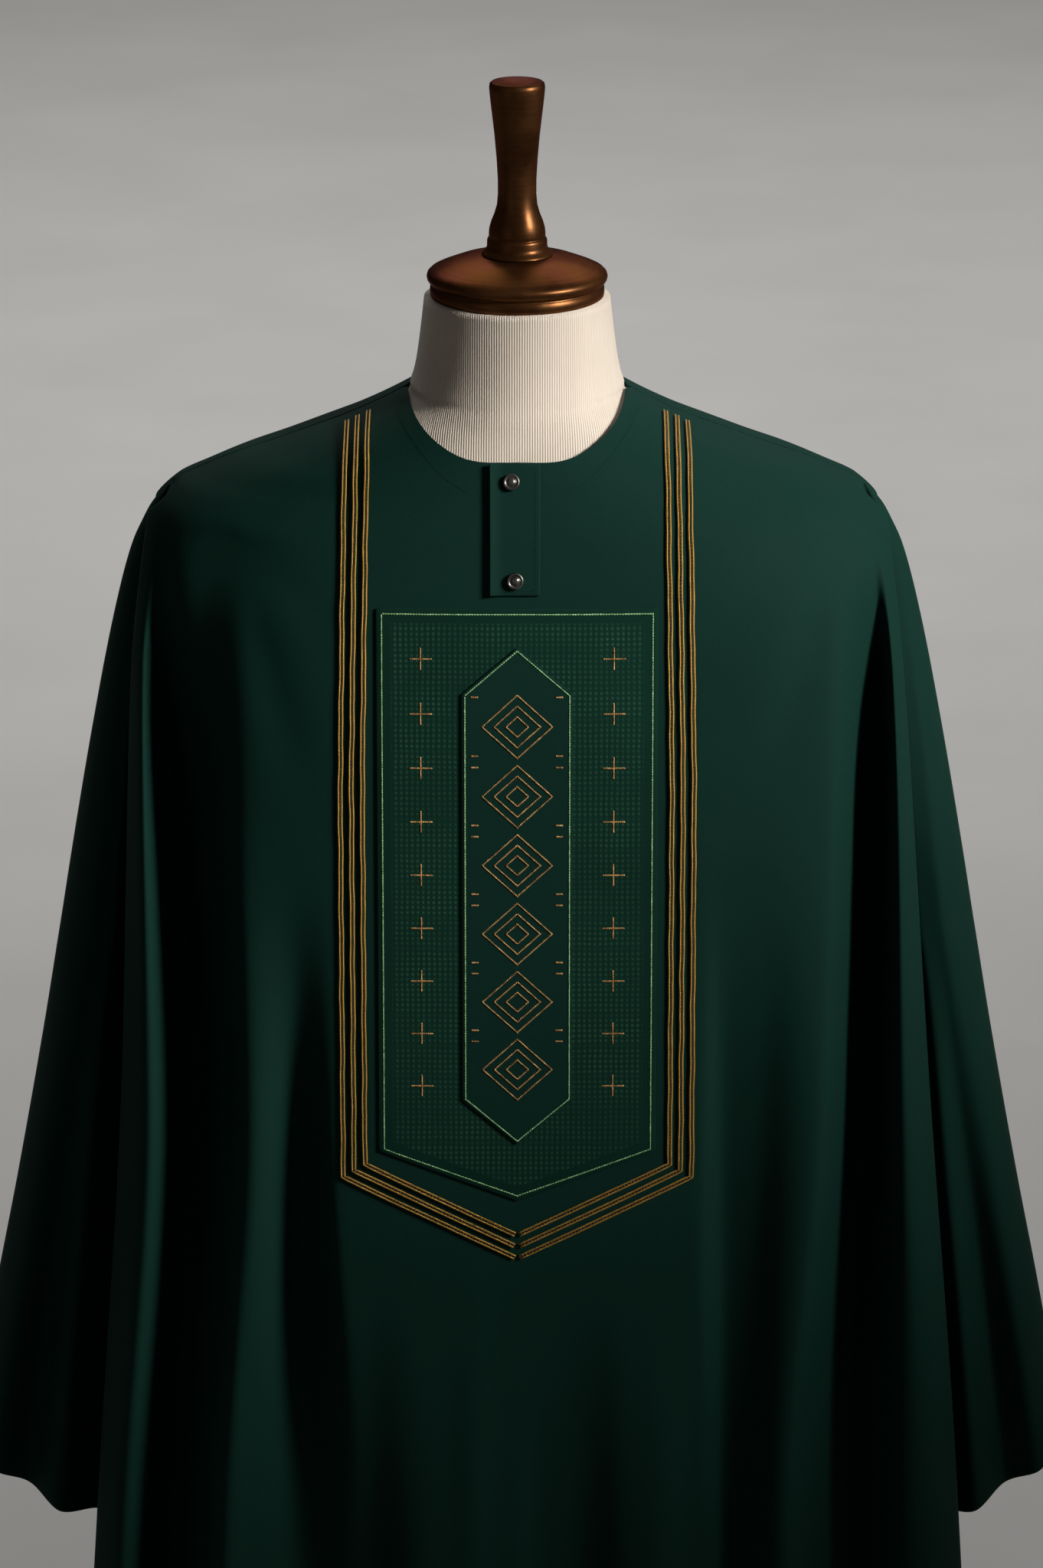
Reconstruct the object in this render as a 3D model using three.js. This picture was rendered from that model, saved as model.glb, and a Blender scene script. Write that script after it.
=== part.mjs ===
// An agbada, the wide West African robe, standing on a limbless dress form.
// Millimetres, +Z up. The origin is on the floor at the middle of the stand's base.
// The robe's front faces -Y, and the wearer's left is +X.
import * as THREE from 'three';

// ---- Driving dimensions ------------------------------------------------------------------
const CLOTH = 1.6;            // thickness of the robe's cloth
const SEAM = 0.3;             // gap between two pieces where a seam joins them
const LIFT = 0.5;             // gap under a piece that lies on the front panel
const HEM_HEIGHT = 150;       // the robe's hem above the floor
const NECK_HALF_WIDTH = 75;   // the neckline at the shoulder seams
const NECK_HEIGHT = 1486;     // the shoulder seam's inner end
const SHOULDER_TIP = 239;     // half-width at the outer end of the shoulder seam
const TIP_HEIGHT = 1418;      // and that end's height
const UNDERARM_HEIGHT = 1100; // lower end of the armhole
const CHEST_HEIGHT = 1300;    // the robe rests on the form only above this
const SHOULDER_HEIGHT = 1400; // the fold table's first level, just below the shoulder tip
const CHEST_ROWS = 7;         // mesh rows from the top edge to the chest
const HANG_ROWS = 9;          // mesh rows from the chest to the hem
const COLUMN_WIDTH = 22;      // most that a mesh column of the front or back spans
const COLUMN_TURN = 20;       // most of the top edge's angle that a column spans
const COLUMN_DEPTH = 15;      // most of a fold's depth that a column spans

// The dress form's cross-sections are ellipses.
const FORM_SECTIONS = [
  { z: 1548, halfWidth: 64.2, halfDepth: 61.8 },
  { z: 1536, halfWidth: 65.5, halfDepth: 62.6 },
  { z: 1524, halfWidth: 66.9, halfDepth: 63.9 },
  { z: 1512, halfWidth: 68.5, halfDepth: 65.7 },
  { z: 1502, halfWidth: 70.1, halfDepth: 67.7 },
  { z: 1494, halfWidth: 72, halfDepth: 69.9 },
  { z: 1489, halfWidth: 73.7, halfDepth: 71.6 },
  { z: 1487, halfWidth: 74.1, halfDepth: 72.4 },
  { z: 1484.5, halfWidth: 73.6, halfDepth: 73.6 },
  { z: 1482, halfWidth: 74.8, halfDepth: 75 },
  { z: 1476, halfWidth: 83.5, halfDepth: 78.2 },
  { z: 1471.5, halfWidth: 91.8, halfDepth: 80 },
  { z: 1460.5, halfWidth: 117.5, halfDepth: 85.2 },
  { z: 1452, halfWidth: 139.5, halfDepth: 89 },
  { z: 1441, halfWidth: 169, halfDepth: 93.5 },
  { z: 1432.5, halfWidth: 194, halfDepth: 96.7 },
  { z: 1423.5, halfWidth: 216.5, halfDepth: 99.7 },
  { z: 1415, halfWidth: 231, halfDepth: 102.4 },
  { z: 1406, halfWidth: 236, halfDepth: 105.8 },
  { z: 1390, halfWidth: 236, halfDepth: 110 },
  { z: 1340, halfWidth: 230, halfDepth: 119 },
  { z: 1280, halfWidth: 213, halfDepth: 124 },
  { z: 1220, halfWidth: 194, halfDepth: 125 },
  { z: 1150, halfWidth: 184, halfDepth: 120 },
  { z: 1080, halfWidth: 172, halfDepth: 112 },
  { z: 1000, halfWidth: 162, halfDepth: 106 },
  { z: 930, halfWidth: 166, halfDepth: 112 },
  { z: 860, halfWidth: 176, halfDepth: 120 },
  { z: 800, halfWidth: 182, halfDepth: 122 },
  { z: 765, halfWidth: 180, halfDepth: 120 },
  { z: 752, halfWidth: 172, halfDepth: 112 },
  { z: 748, halfWidth: 160, halfDepth: 102 },
];

// The robe's plain outline, before its folds: at each height a superellipse, whose
// fullness is 2 where the cloth rests on the form and more where it hangs free.
const ROBE_OUTLINE = [
  { z: 1486, halfWidth: 74.5, front: 75.7, back: 75.7, fullness: 2 },
  { z: 1476, halfWidth: 93.5, front: 81.4, back: 81.4, fullness: 2 },
  { z: 1464.5, halfWidth: 119, front: 87.7, back: 87.7, fullness: 2 },
  { z: 1456.5, halfWidth: 141, front: 91, back: 91, fullness: 2 },
  { z: 1445.5, halfWidth: 171, front: 95.5, back: 95.5, fullness: 2 },
  { z: 1437, halfWidth: 196, front: 98.8, back: 98.8, fullness: 2 },
  { z: 1426, halfWidth: 222, front: 102.7, back: 102.7, fullness: 2 },
  { z: 1418, halfWidth: 239, front: 105.4, back: 105.4, fullness: 2.07 },
  { z: 1400, halfWidth: 258, front: 111, back: 111, fullness: 2.3 },
  { z: 1342, halfWidth: 272, front: 122, back: 122, fullness: 2.9 },
  { z: 1275, halfWidth: 282, front: 129, back: 129, fullness: 3 },
  { z: 1141, halfWidth: 296, front: 136, back: 138, fullness: 3 },
  { z: 1000, halfWidth: 308, front: 142, back: 148, fullness: 3 },
  { z: 793, halfWidth: 328, front: 152, back: 162, fullness: 3 },
  { z: 620, halfWidth: 338, front: 163, back: 172, fullness: 3 },
  { z: 400, halfWidth: 354, front: 176, back: 184, fullness: 3 },
  { z: 150, halfWidth: 374, front: 190, back: 196, fullness: 3 },
];

// The line down each side where the sleeve, and below the underarm the back, joins
// the front. The armhole opens by "gape" to the front and to the back.
const SIDE_LINE = [
  { z: 1418, out: 239, gape: 0 },
  { z: 1398, out: 245.5, gape: 6 },
  { z: 1380, out: 250, gape: 10 },
  { z: 1300, out: 255, gape: 15 },
  { z: 1200, out: 259, gape: 12 },
  { z: 1100, out: 262, gape: 0 },
  { z: 1000, out: 264, gape: 0 },
  { z: 600, out: 274, gape: 0 },
  { z: 400, out: 300, gape: 0 },
  { z: 150, out: 332, gape: 0 },
];

// The folds' lines across each panel, from the wearer's right to the left. "top" is where
// a line leaves the top edge, as an angle: 0 at mid neckline, 90 at the shoulder seam's inner
// end, 180 at its tip. The next five are its distance from the middle at the shoulder,
// chest, waist, thigh and hem. A fold starts at one height, is full at another, and is
// "deep" there: above zero for a trough, below zero for a crest.
const FRONT_FOLDS = [
  { name: 'edge_r', top: -176, shoulder: -257, chest: -268, waist: -280, thigh: -302, hem: -340,
    start: 1400, full: 1150, deep: 8 },
  { name: 'ridge_r', top: -172, shoulder: -250, chest: -259, waist: -258, thigh: -280, hem: -316,
    start: 1400, full: 1150, deep: -10 },
  { name: 'valley_r', top: -166, shoulder: -244, chest: -247, waist: -228, thigh: -244, hem: -272,
    start: 1400, full: 1180, deep: 56 },
  { name: 'bright_r', top: -142, shoulder: -186, chest: -190, waist: -186, thigh: -206, hem: -234,
    start: 1250, full: 900, deep: -8 },
  { name: 'trough_r', top: -122, shoulder: -150, chest: -156, waist: -158, thigh: -160, hem: -162,
    start: 1180, full: 850, deep: 32 },
  { name: 'frame_r', top: -108, shoulder: -120, chest: -128, waist: -129, thigh: -122, hem: -126,
    start: 890, full: 600, deep: 8 },
  { name: 'crest_r', top: -90, shoulder: -70, chest: -66, waist: -64, thigh: -62, hem: -76,
    start: 890, full: 600, deep: -8 },
  { name: 'middle', top: 0, shoulder: 0, chest: 0, waist: 0, thigh: -6, hem: -8,
    start: 880, full: 500, deep: 4 },
  { name: 'dip', top: 40, shoulder: 36, chest: 36, waist: 38, thigh: 38, hem: 44,
    start: 890, full: 600, deep: 14 },
  { name: 'crest_l', top: 90, shoulder: 84, chest: 92, waist: 96, thigh: 98, hem: 108,
    start: 890, full: 600, deep: -9 },
  { name: 'frame_l', top: 108, shoulder: 120, chest: 128, waist: 129, thigh: 132, hem: 142,
    start: 890, full: 600, deep: 4 },
  { name: 'trough_l', top: 120, shoulder: 136, chest: 142, waist: 142, thigh: 146, hem: 160,
    start: 1180, full: 850, deep: 16 },
  { name: 'narrow_l', top: 138, shoulder: 206, chest: 218, waist: 212, thigh: 190, hem: 208,
    start: 1330, full: 1000, deep: -12 },
  { name: 'valley_l', top: 166, shoulder: 244, chest: 249, waist: 243, thigh: 232, hem: 254,
    start: 1400, full: 1200, deep: 58 },
  { name: 'ridge_l', top: 172, shoulder: 250, chest: 260, waist: 272, thigh: 290, hem: 318,
    start: 1400, full: 1150, deep: -16 },
  { name: 'edge_l', top: 176, shoulder: 257, chest: 268, waist: 292, thigh: 318, hem: 352,
    start: 1400, full: 1150, deep: 0 },
];
const BACK_FOLDS = [
  { name: 'edge_r', top: -176, shoulder: -254, chest: -264, waist: -282, thigh: -306, hem: -344,
    start: 1400, full: 1150, deep: 10 },
  { name: 'valley_r', top: -158, shoulder: -226, chest: -226, waist: -232, thigh: -248, hem: -276,
    start: 1330, full: 1050, deep: 30 },
  { name: 'crest_r', top: -132, shoulder: -168, chest: -172, waist: -178, thigh: -190, hem: -212,
    start: 1300, full: 900, deep: -8 },
  { name: 'trough_r', top: -108, shoulder: -118, chest: -120, waist: -122, thigh: -126, hem: -136,
    start: 1260, full: 850, deep: 24 },
  { name: 'side_r', top: -90, shoulder: -74, chest: -72, waist: -70, thigh: -68, hem: -70,
    start: 1200, full: 800, deep: -8 },
  { name: 'middle', top: 0, shoulder: 0, chest: 0, waist: -2, thigh: -4, hem: -6,
    start: 1240, full: 800, deep: 18 },
  { name: 'side_l', top: 90, shoulder: 74, chest: 72, waist: 66, thigh: 62, hem: 66,
    start: 1220, full: 800, deep: -9 },
  { name: 'trough_l', top: 110, shoulder: 122, chest: 124, waist: 118, thigh: 120, hem: 130,
    start: 1240, full: 850, deep: 26 },
  { name: 'crest_l', top: 136, shoulder: 176, chest: 178, waist: 176, thigh: 184, hem: 208,
    start: 1300, full: 900, deep: -8 },
  { name: 'valley_l', top: 160, shoulder: 230, chest: 232, waist: 236, thigh: 252, hem: 280,
    start: 1340, full: 1050, deep: 32 },
  { name: 'edge_l', top: 176, shoulder: 253, chest: 264, waist: 286, thigh: 310, hem: 346,
    start: 1400, full: 1150, deep: 8 },
];

// Each sleeve hangs as a flattened tube outside the robe's side, wider downwards.
// "apart" is how far it stands from the side line, "outer" its outline from the front.
const SLEEVE_OUTLINE = [
  { z: 1416, apart: 0.9, outer: 241.2, depth: 0.5 },
  { z: 1408, apart: 0.9, outer: 248, depth: 4.2 },
  { z: 1391, apart: 0.9, outer: 258, depth: 8.4 },
  { z: 1374, apart: 0.9, outer: 267.5, depth: 12.6 },
  { z: 1326, apart: 0.9, outer: 281.3, depth: 22 },
  { z: 1242, apart: 0.9, outer: 298.5, depth: 31 },
  { z: 1136, apart: 0.9, outer: 317.5, depth: 40 },
  { z: 1100, apart: 0.9, outer: 323.5, depth: 42 },
  { z: 1080, apart: 3.5, outer: 327, depth: 43 },
  { z: 1022, apart: 8.5, outer: 337, depth: 45 },
  { z: 900, apart: 12.5, outer: 360, depth: 47 },
  { z: 812, apart: 15.5, outer: 378, depth: 48 },
  { z: 640, apart: 19, outer: 410, depth: 52 },
];
// The sleeve's lines round its tube: how far across it each lies, how much of the tube's
// depth it stands forward (below zero) or back, and the fold it has grown by the hem.
const SLEEVE_FOLDS = [
  { name: 'under_front', across: 0, stand: 0, fold: 0 },
  { name: 'front_inner', across: 0.14, stand: -0.48, fold: 4 },
  { name: 'front_crest', across: 0.36, stand: -0.95, fold: -7 },
  { name: 'front_dip', across: 0.58, stand: -0.98, fold: 13 },
  { name: 'front_outer', across: 0.82, stand: -0.72, fold: -6 },
  { name: 'outer', across: 1, stand: 0, fold: 0 },
  { name: 'back_outer', across: 0.8, stand: 0.76, fold: 7 },
  { name: 'back_dip', across: 0.56, stand: 1, fold: -12 },
  { name: 'back_crest', across: 0.34, stand: 0.95, fold: 8 },
  { name: 'back_inner', across: 0.13, stand: 0.48, fold: -3 },
  { name: 'under_back', across: 0, stand: 0, fold: 0 },
];
const SLEEVE_TOP = SLEEVE_OUTLINE[0].z;
const SLEEVE_COLUMNS = 20;
const SLEEVE_ROWS = 12;
const SLEEVE_HEM = { height: 644, at: 307, slope: 0.57 }; // the hem rises outwards
const SLEEVE_FOLD_START = 1150;
const SLEEVE_FOLD_FULL = 700;
const ARMHOLE_EASE = 0.8;      // below 1, the columns stand closer together at the armhole's top

// The overlap that closes the neck's front opening, and its two buttons.
const PLACKET = { left: -18.4, right: 15.6, bottom: 1367, thickness: 1.4 };
const BUTTONS = [
  { name: 'button_upper', x: -3.8, z: 1441 },
  { name: 'button_lower', x: -1.2, z: 1377 },
];
const BUTTON_RADIUS = 5.8;
const BUTTON_THICKNESS = 4;
const BUTTON_SEGMENTS = 14;

// The embroidered front: an applied panel, a smaller one on it, and couched gold cords.
const CHEST_PANEL = { halfWidth: 96, top: 1358, side: 972, point: 936, thickness: 1 };
const INNER_PANEL = { halfWidth: 38, top: 1332, topSide: 1300, side: 1010, point: 978, thickness: 1 };
const CORD = { width: 3.6, thickness: 1.4, pitch: 7.6, count: 3 };
const CORD_ROUTE = { shoulder: 102, waist: 106, turn: 962, meet: 1.7, slope: 26, downRows: 18, acrossRows: 6 };
const CORD_LIFT = 0.8;        // gap under a cord, which bridges the front's curve

// The dress form's stand, cap and handle.
const POLE = { radius: 12.5, bottom: 46.3, top: 747.7 };
const FORM_SEGMENTS = 30;
const ROUND_SEGMENTS = 26;
const BASE_PROFILE = [
  [0, 0], [201, 0], [203, 3], [203, 8], [199, 12], [60, 15], [32, 21], [24, 32], [24, 44], [22, 46], [0, 46],
];
const CAP_PROFILE = [
  [0, 1548.3], [58.8, 1548.3], [60, 1549.6], [60, 1555.4], [58.8, 1556.8], [60.4, 1558.4], [62.4, 1562],
  [61.4, 1565.2], [57, 1568], [50, 1570.8], [42, 1573.8], [34, 1575.9], [27, 1577], [0, 1577],
];
const HANDLE_PROFILE = [
  [0, 1577.3], [24.4, 1577.3], [24.6, 1578.1], [23.2, 1580], [21.4, 1581.8], [20.7, 1583.4], [20.6, 1588.8],
  [19.6, 1589.8], [19.4, 1595], [17.9, 1600.6], [15.6, 1606.4], [13.9, 1612.4], [13.2, 1620], [13.4, 1634],
  [15.7, 1662], [18.3, 1683], [19.2, 1693], [18.7, 1696.9], [16.8, 1698], [8, 1696.4], [0, 1695.9],
];

// ---- Smooth lines through the tables -----------------------------------------------------
const DEGREE = Math.PI / 180;

function mix(from, to, share) {
  return from + (to - from) * share;
}

// A smooth curve through values at rising knots, which never swings past them.
function smoothCurve(knots, values) {
  const last = knots.length - 1;
  const steps = knots.slice(1).map((knot, i) => (values[i + 1] - values[i]) / (knot - knots[i]));
  const slopes = values.map((_, i) => {
    const before = steps[Math.max(i - 1, 0)];
    const after = steps[Math.min(i, last - 1)];
    return before * after <= 0 ? 0 : 2 * before * after / (before + after);
  });
  return (at) => {
    const x = Math.min(Math.max(at, knots[0]), knots[last]);
    let i = 0;
    while (i < last - 1 && x > knots[i + 1]) i += 1;
    const width = knots[i + 1] - knots[i];
    const t = (x - knots[i]) / width;
    const rise = t * t * (3 - 2 * t);
    const leave = t * (1 - t) * (1 - t) * width * slopes[i];
    const arrive = t * t * (1 - t) * width * slopes[i + 1];
    return mix(values[i], values[i + 1], rise) + leave - arrive;
  };
}

// One column of a table that runs from the top down, as a curve of the height.
function byHeight(table, name) {
  const rising = [...table].reverse();
  return smoothCurve(rising.map((row) => row.z), rising.map((row) => row[name]));
}

function allByHeight(table) {
  const names = Object.keys(table[0]).filter((name) => name !== 'z');
  return Object.fromEntries(names.map((name) => [name, byHeight(table, name)]));
}

// The input at which a function that falls as its input rises reaches a value.
function solveFalling(fn, value, low, high) {
  let [from, to] = [low, high];
  for (let i = 0; i < 50; i += 1) {
    const middle = (from + to) / 2;
    if (fn(middle) > value) from = middle;
    else to = middle;
  }
  return (from + to) / 2;
}

// From 0 at the fold's start to 1 where it is full, by height.
function growth(z, start, full) {
  const t = Math.min(Math.max((start - z) / (start - full), 0), 1);
  return t * t * (3 - 2 * t);
}

// ---- Walls of cloth ----------------------------------------------------------------------
// The grid's columns of points are the cloth's outer face; the inner face lies one
// thickness behind it. "facing" is 1 where across x down points out of the cloth, or -1.
// "edgeNormal" may give another direction for the thickness at a point of the rim.
function clothWall(grid, thickness, facing, edgeNormal = () => null) {
  const columns = grid.length;
  const rows = grid[0].length;
  const normalAt = (i, j) => {
    const across = grid[Math.min(i + 1, columns - 1)][j].clone().sub(grid[Math.max(i - 1, 0)][j]);
    const down = grid[i][Math.min(j + 1, rows - 1)].clone().sub(grid[i][Math.max(j - 1, 0)]);
    return across.cross(down).normalize().multiplyScalar(facing);
  };
  const outer = grid.flat();
  const inner = grid.flatMap((column, i) => column.map((point, j) => {
    const normal = edgeNormal(i, j) ?? normalAt(i, j);
    return point.clone().addScaledVector(normal, -thickness);
  }));
  const out = (i, j) => i * rows + j;
  const back = (i, j) => outer.length + i * rows + j;
  const quads = [];
  for (let i = 0; i < columns - 1; i += 1) {
    for (let j = 0; j < rows - 1; j += 1) {
      quads.push([out(i, j), out(i + 1, j), out(i + 1, j + 1), out(i, j + 1)]);
      quads.push([back(i, j), back(i, j + 1), back(i + 1, j + 1), back(i + 1, j)]);
    }
    quads.push([out(i + 1, 0), out(i, 0), back(i, 0), back(i + 1, 0)]);
    quads.push([out(i, rows - 1), out(i + 1, rows - 1), back(i + 1, rows - 1), back(i, rows - 1)]);
  }
  for (let j = 0; j < rows - 1; j += 1) {
    quads.push([out(0, j), out(0, j + 1), back(0, j + 1), back(0, j)]);
    quads.push([out(columns - 1, j + 1), out(columns - 1, j), back(columns - 1, j), back(columns - 1, j + 1)]);
  }
  const turned = facing > 0 ? quads : quads.map((quad) => [...quad].reverse());
  return meshFrom([...outer, ...inner], turned);
}

// Both faces of a wall have to be cut along the same diagonal, so each quad is cut
// from its corner with the lowest index within its face.
function meshFrom(points, quads) {
  const geometry = new THREE.BufferGeometry();
  geometry.setAttribute('position', new THREE.Float32BufferAttribute(points.flatMap((p) => [p.x, p.y, p.z]), 3));
  geometry.setIndex(quads.flatMap((quad) => {
    const start = quad.indexOf(Math.min(...quad));
    const [a, b, c, d] = [...quad.slice(start), ...quad.slice(0, start)];
    return [a, b, c, a, c, d];
  }));
  return geometry;
}

function evenly(count, from = 0, to = 1) {
  return Array.from({ length: count + 1 }, (_, i) => mix(from, to, i / count));
}

// ---- The robe's front and back -----------------------------------------------------------
const outline = allByHeight(ROBE_OUTLINE);
const sideLine = allByHeight(SIDE_LINE);
const NECKLINES = {
  front: { halfDepth: 92, squareness: 3 },
  back: { halfDepth: 75, squareness: 2.3 },
};
const SIDES = {
  front: { sign: -1, folds: FRONT_FOLDS },
  back: { sign: 1, folds: BACK_FOLDS },
};
const LEVELS = { hem: HEM_HEIGHT, thigh: 700, waist: 1000, chest: CHEST_HEIGHT, shoulder: SHOULDER_HEIGHT };
for (const side of Object.values(SIDES)) {
  side.lines = side.folds.map((fold) => ({
    ...fold,
    distance: smoothCurve(Object.values(LEVELS), Object.keys(LEVELS).map((level) => fold[level])),
  }));
}

// The shoulder seam's height at a distance from the middle.
function ridgeHeight(distance) {
  return solveFalling(outline.halfWidth, distance, TIP_HEIGHT, NECK_HEIGHT);
}

// The height at which the cloth that rests on the form passes over a place.
function restHeight(side, x, y) {
  const reach = (z) => 1 / ((x / outline.halfWidth(z)) ** 2 + (y / outline[side](z)) ** 2);
  return solveFalling(reach, 1, SHOULDER_HEIGHT, NECK_HEIGHT);
}

// A point of the panel's top edge, at one of the fold table's "top" angles.
function topEdge(side, angle) {
  const size = Math.abs(angle);
  const hand = Math.sign(angle);
  if (size >= 90) {
    const x = mix(NECK_HALF_WIDTH, SHOULDER_TIP, (size - 90) / 90);
    return new THREE.Vector3(hand * x, 0, ridgeHeight(x));
  }
  const { halfDepth, squareness } = NECKLINES[side];
  const x = NECK_HALF_WIDTH * Math.sin(size * DEGREE) ** (2 / squareness);
  const y = halfDepth * Math.cos(size * DEGREE) ** (2 / squareness);
  return new THREE.Vector3(hand * x, SIDES[side].sign * y, restHeight(side, x, y));
}

// How far the folds push the cloth in at a distance from the middle.
function foldDepth(side, x, z) {
  if (z >= SHOULDER_HEIGHT) return 0;
  const { lines } = SIDES[side];
  const depths = lines.map((line) => line.deep * growth(z, line.start, line.full));
  return smoothCurve(lines.map((line) => line.distance(z)), depths)(x);
}

// The outer face of the front or back between its outermost folds.
function panelPoint(side, x, z) {
  const reach = Math.min(Math.abs(x) / outline.halfWidth(z), 1);
  const fullness = outline.fullness(z);
  const plain = outline[side](z) * (1 - reach ** fullness) ** (1 / fullness);
  const stand = Math.max(plain - foldDepth(side, x, z), SEAM / 2);
  return new THREE.Vector3(x, SIDES[side].sign * stand, z);
}

function panelNormal(side, x, z) {
  const step = 1;
  const across = panelPoint(side, x + step, z).sub(panelPoint(side, x - step, z));
  const down = panelPoint(side, x, z - step).sub(panelPoint(side, x, z + step));
  return across.cross(down).normalize().multiplyScalar(SIDES[side].sign);
}

function sidePoint(side, hand, z) {
  const stand = Math.max(sideLine.gape(z), SEAM / 2);
  return new THREE.Vector3(hand * sideLine.out(z), SIDES[side].sign * stand, z);
}

// Heights of the mesh rows below a point of the top edge, close together near it.
function rowHeights(top) {
  const chest = evenly(CHEST_ROWS).map((share) => mix(top, CHEST_HEIGHT, share * share));
  const hang = evenly(HANG_ROWS).map((share) => mix(CHEST_HEIGHT, HEM_HEIGHT, share ** 1.3));
  return [...chest, ...hang.slice(1)];
}

// One column of points down the panel, at a place between the lines of the fold table.
function panelColumn(side, place) {
  const { lines } = SIDES[side];
  const places = lines.map((_, i) => i);
  const top = topEdge(side, smoothCurve(places, lines.map((line) => line.top))(place));
  const distanceAt = (z) => smoothCurve(places, lines.map((line) => line.distance(z)))(place);
  return rowHeights(top.z).map((z) => {
    const share = Math.max((z - SHOULDER_HEIGHT) / (top.z - SHOULDER_HEIGHT), 0);
    return panelPoint(side, mix(distanceAt(z), top.x, share), z);
  });
}

// The front or back: a fold strip at each side, ruled from the side line to the outermost fold.
function bodyPanel(side) {
  const { lines, sign } = SIDES[side];
  const last = lines.length - 1;
  const middle = lines.slice(1).flatMap((line, i) => {
    const before = lines[i];
    const cells = Math.max(
      Math.round((line.thigh - before.thigh) / COLUMN_WIDTH),
      Math.round(Math.abs(line.deep - before.deep) / COLUMN_DEPTH),
      Math.ceil((line.top - before.top) / COLUMN_TURN),
    );
    return evenly(cells, i, i + 1).slice(0, -1).map((place) => panelColumn(side, place));
  });
  middle.push(panelColumn(side, last));
  const strip = (hand, edge) => {
    const seam = rowHeights(TIP_HEIGHT).map((z) => sidePoint(side, hand, z));
    return [0, 0.5].map((share) => seam.map((point, j) => point.clone().lerp(edge[j], share)));
  };
  const grid = [...strip(-1, middle[0]), ...middle, ...strip(1, middle.at(-1)).reverse()];
  const seamNormal = (i, j) => {
    const point = grid[i][j];
    const atSide = i === 0 || i === grid.length - 1;
    if (atSide && point.z < UNDERARM_HEIGHT) return new THREE.Vector3(Math.sign(point.x), 0, 0);
    if (atSide && point.z > SHOULDER_HEIGHT && j > 0) return new THREE.Vector3(Math.sign(point.x), 0, 0);
    if (j > 0 || Math.abs(point.x) < NECK_HALF_WIDTH - 0.01) return null;
    const slope = grid[Math.min(i + 1, grid.length - 1)][0].clone().sub(grid[Math.max(i - 1, 0)][0]);
    return new THREE.Vector3(-slope.z, 0, slope.x).normalize();
  };
  return clothWall(grid, CLOTH, sign, seamNormal);
}

// ---- The sleeves -------------------------------------------------------------------------
const sleeveOutline = allByHeight(SLEEVE_OUTLINE);
const sleevePlaces = SLEEVE_FOLDS.map((_, i) => i / (SLEEVE_FOLDS.length - 1));
const sleeveAcross = smoothCurve(sleevePlaces, SLEEVE_FOLDS.map((line) => line.across));
const sleeveStand = smoothCurve(sleevePlaces, SLEEVE_FOLDS.map((line) => line.stand));
const sleeveFold = smoothCurve(sleevePlaces, SLEEVE_FOLDS.map((line) => line.fold));

// A point of the sleeve's section, from its front seam (0) over the outside (0.5) to the
// back seam (1).
function sleevePoint(place, z) {
  const across = sleeveAcross(place);
  const gape = sideLine.gape(z) * (1 - across) ** 2 * (place < 0.5 ? -1 : 1);
  const fold = sleeveFold(place) * growth(z, SLEEVE_FOLD_START, SLEEVE_FOLD_FULL);
  const x = mix(sideLine.out(z) + sleeveOutline.apart(z), sleeveOutline.outer(z), across);
  const seamHalf = place < 0.5 ? -SEAM / 2 : SEAM / 2;
  const atSeam = Math.min(place, 1 - place) < 1e-6;
  const y = sleeveOutline.depth(z) * sleeveStand(place) + gape + fold + (atSeam ? seamHalf : 0);
  return new THREE.Vector3(x, y, z);
}

// The armhole's share of the way round from the underarm to the top, by height.
function armholeShare(z) {
  const fall = Math.min(Math.max((SLEEVE_TOP - z) / (SLEEVE_TOP - UNDERARM_HEIGHT), 0), 1);
  return 0.5 * (1 - fall ** ARMHOLE_EASE);
}

function sleeveColumn(share) {
  const fromUnder = Math.min(share, 1 - share);
  const top = mix(SLEEVE_TOP, UNDERARM_HEIGHT, (1 - 2 * fromUnder) ** (1 / ARMHOLE_EASE));
  const placeAt = (z) => {
    const armhole = armholeShare(z);
    const place = armhole > 0.4999 ? 0.5 : 0.5 * Math.max(fromUnder - armhole, 0) / (0.5 - armhole);
    return share <= 0.5 ? place : 1 - place;
  };
  let hem = SLEEVE_HEM.height;
  for (let i = 0; i < 6; i += 1) {
    hem = SLEEVE_HEM.height + SLEEVE_HEM.slope * (sleevePoint(share, hem).x - SLEEVE_HEM.at);
  }
  return evenly(SLEEVE_ROWS).map((down) => {
    const z = mix(top, hem, down ** 1.35);
    return sleevePoint(placeAt(z), z);
  });
}

function sleeve(hand) {
  const grid = evenly(SLEEVE_COLUMNS).map((share) => sleeveColumn(share));
  const handed = grid.map((column) => column.map((point) => new THREE.Vector3(hand * point.x, point.y, point.z)));
  if (hand < 0) handed.reverse();
  const seamNormal = (i, j) => {
    const atSeam = i === 0 || i === grid.length - 1;
    return atSeam && j > 0 ? new THREE.Vector3(-hand, 0, 0) : null;
  };
  return clothWall(handed, CLOTH, -1, seamNormal);
}

// ---- What lies on the front --------------------------------------------------------------
// A piece that covers the front from one height to another in each column.
function appliedPiece({ columns, rows, left, right, topAt, bottomAt, lift, thickness }) {
  const grid = columns.map((share) => {
    const x = mix(left, right, share);
    return evenly(rows).map((down) => {
      const z = mix(topAt(x), bottomAt(x), down);
      return panelPoint('front', x, z).addScaledVector(panelNormal('front', x, z), lift + thickness);
    });
  });
  return clothWall(grid, thickness, -1);
}

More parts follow.
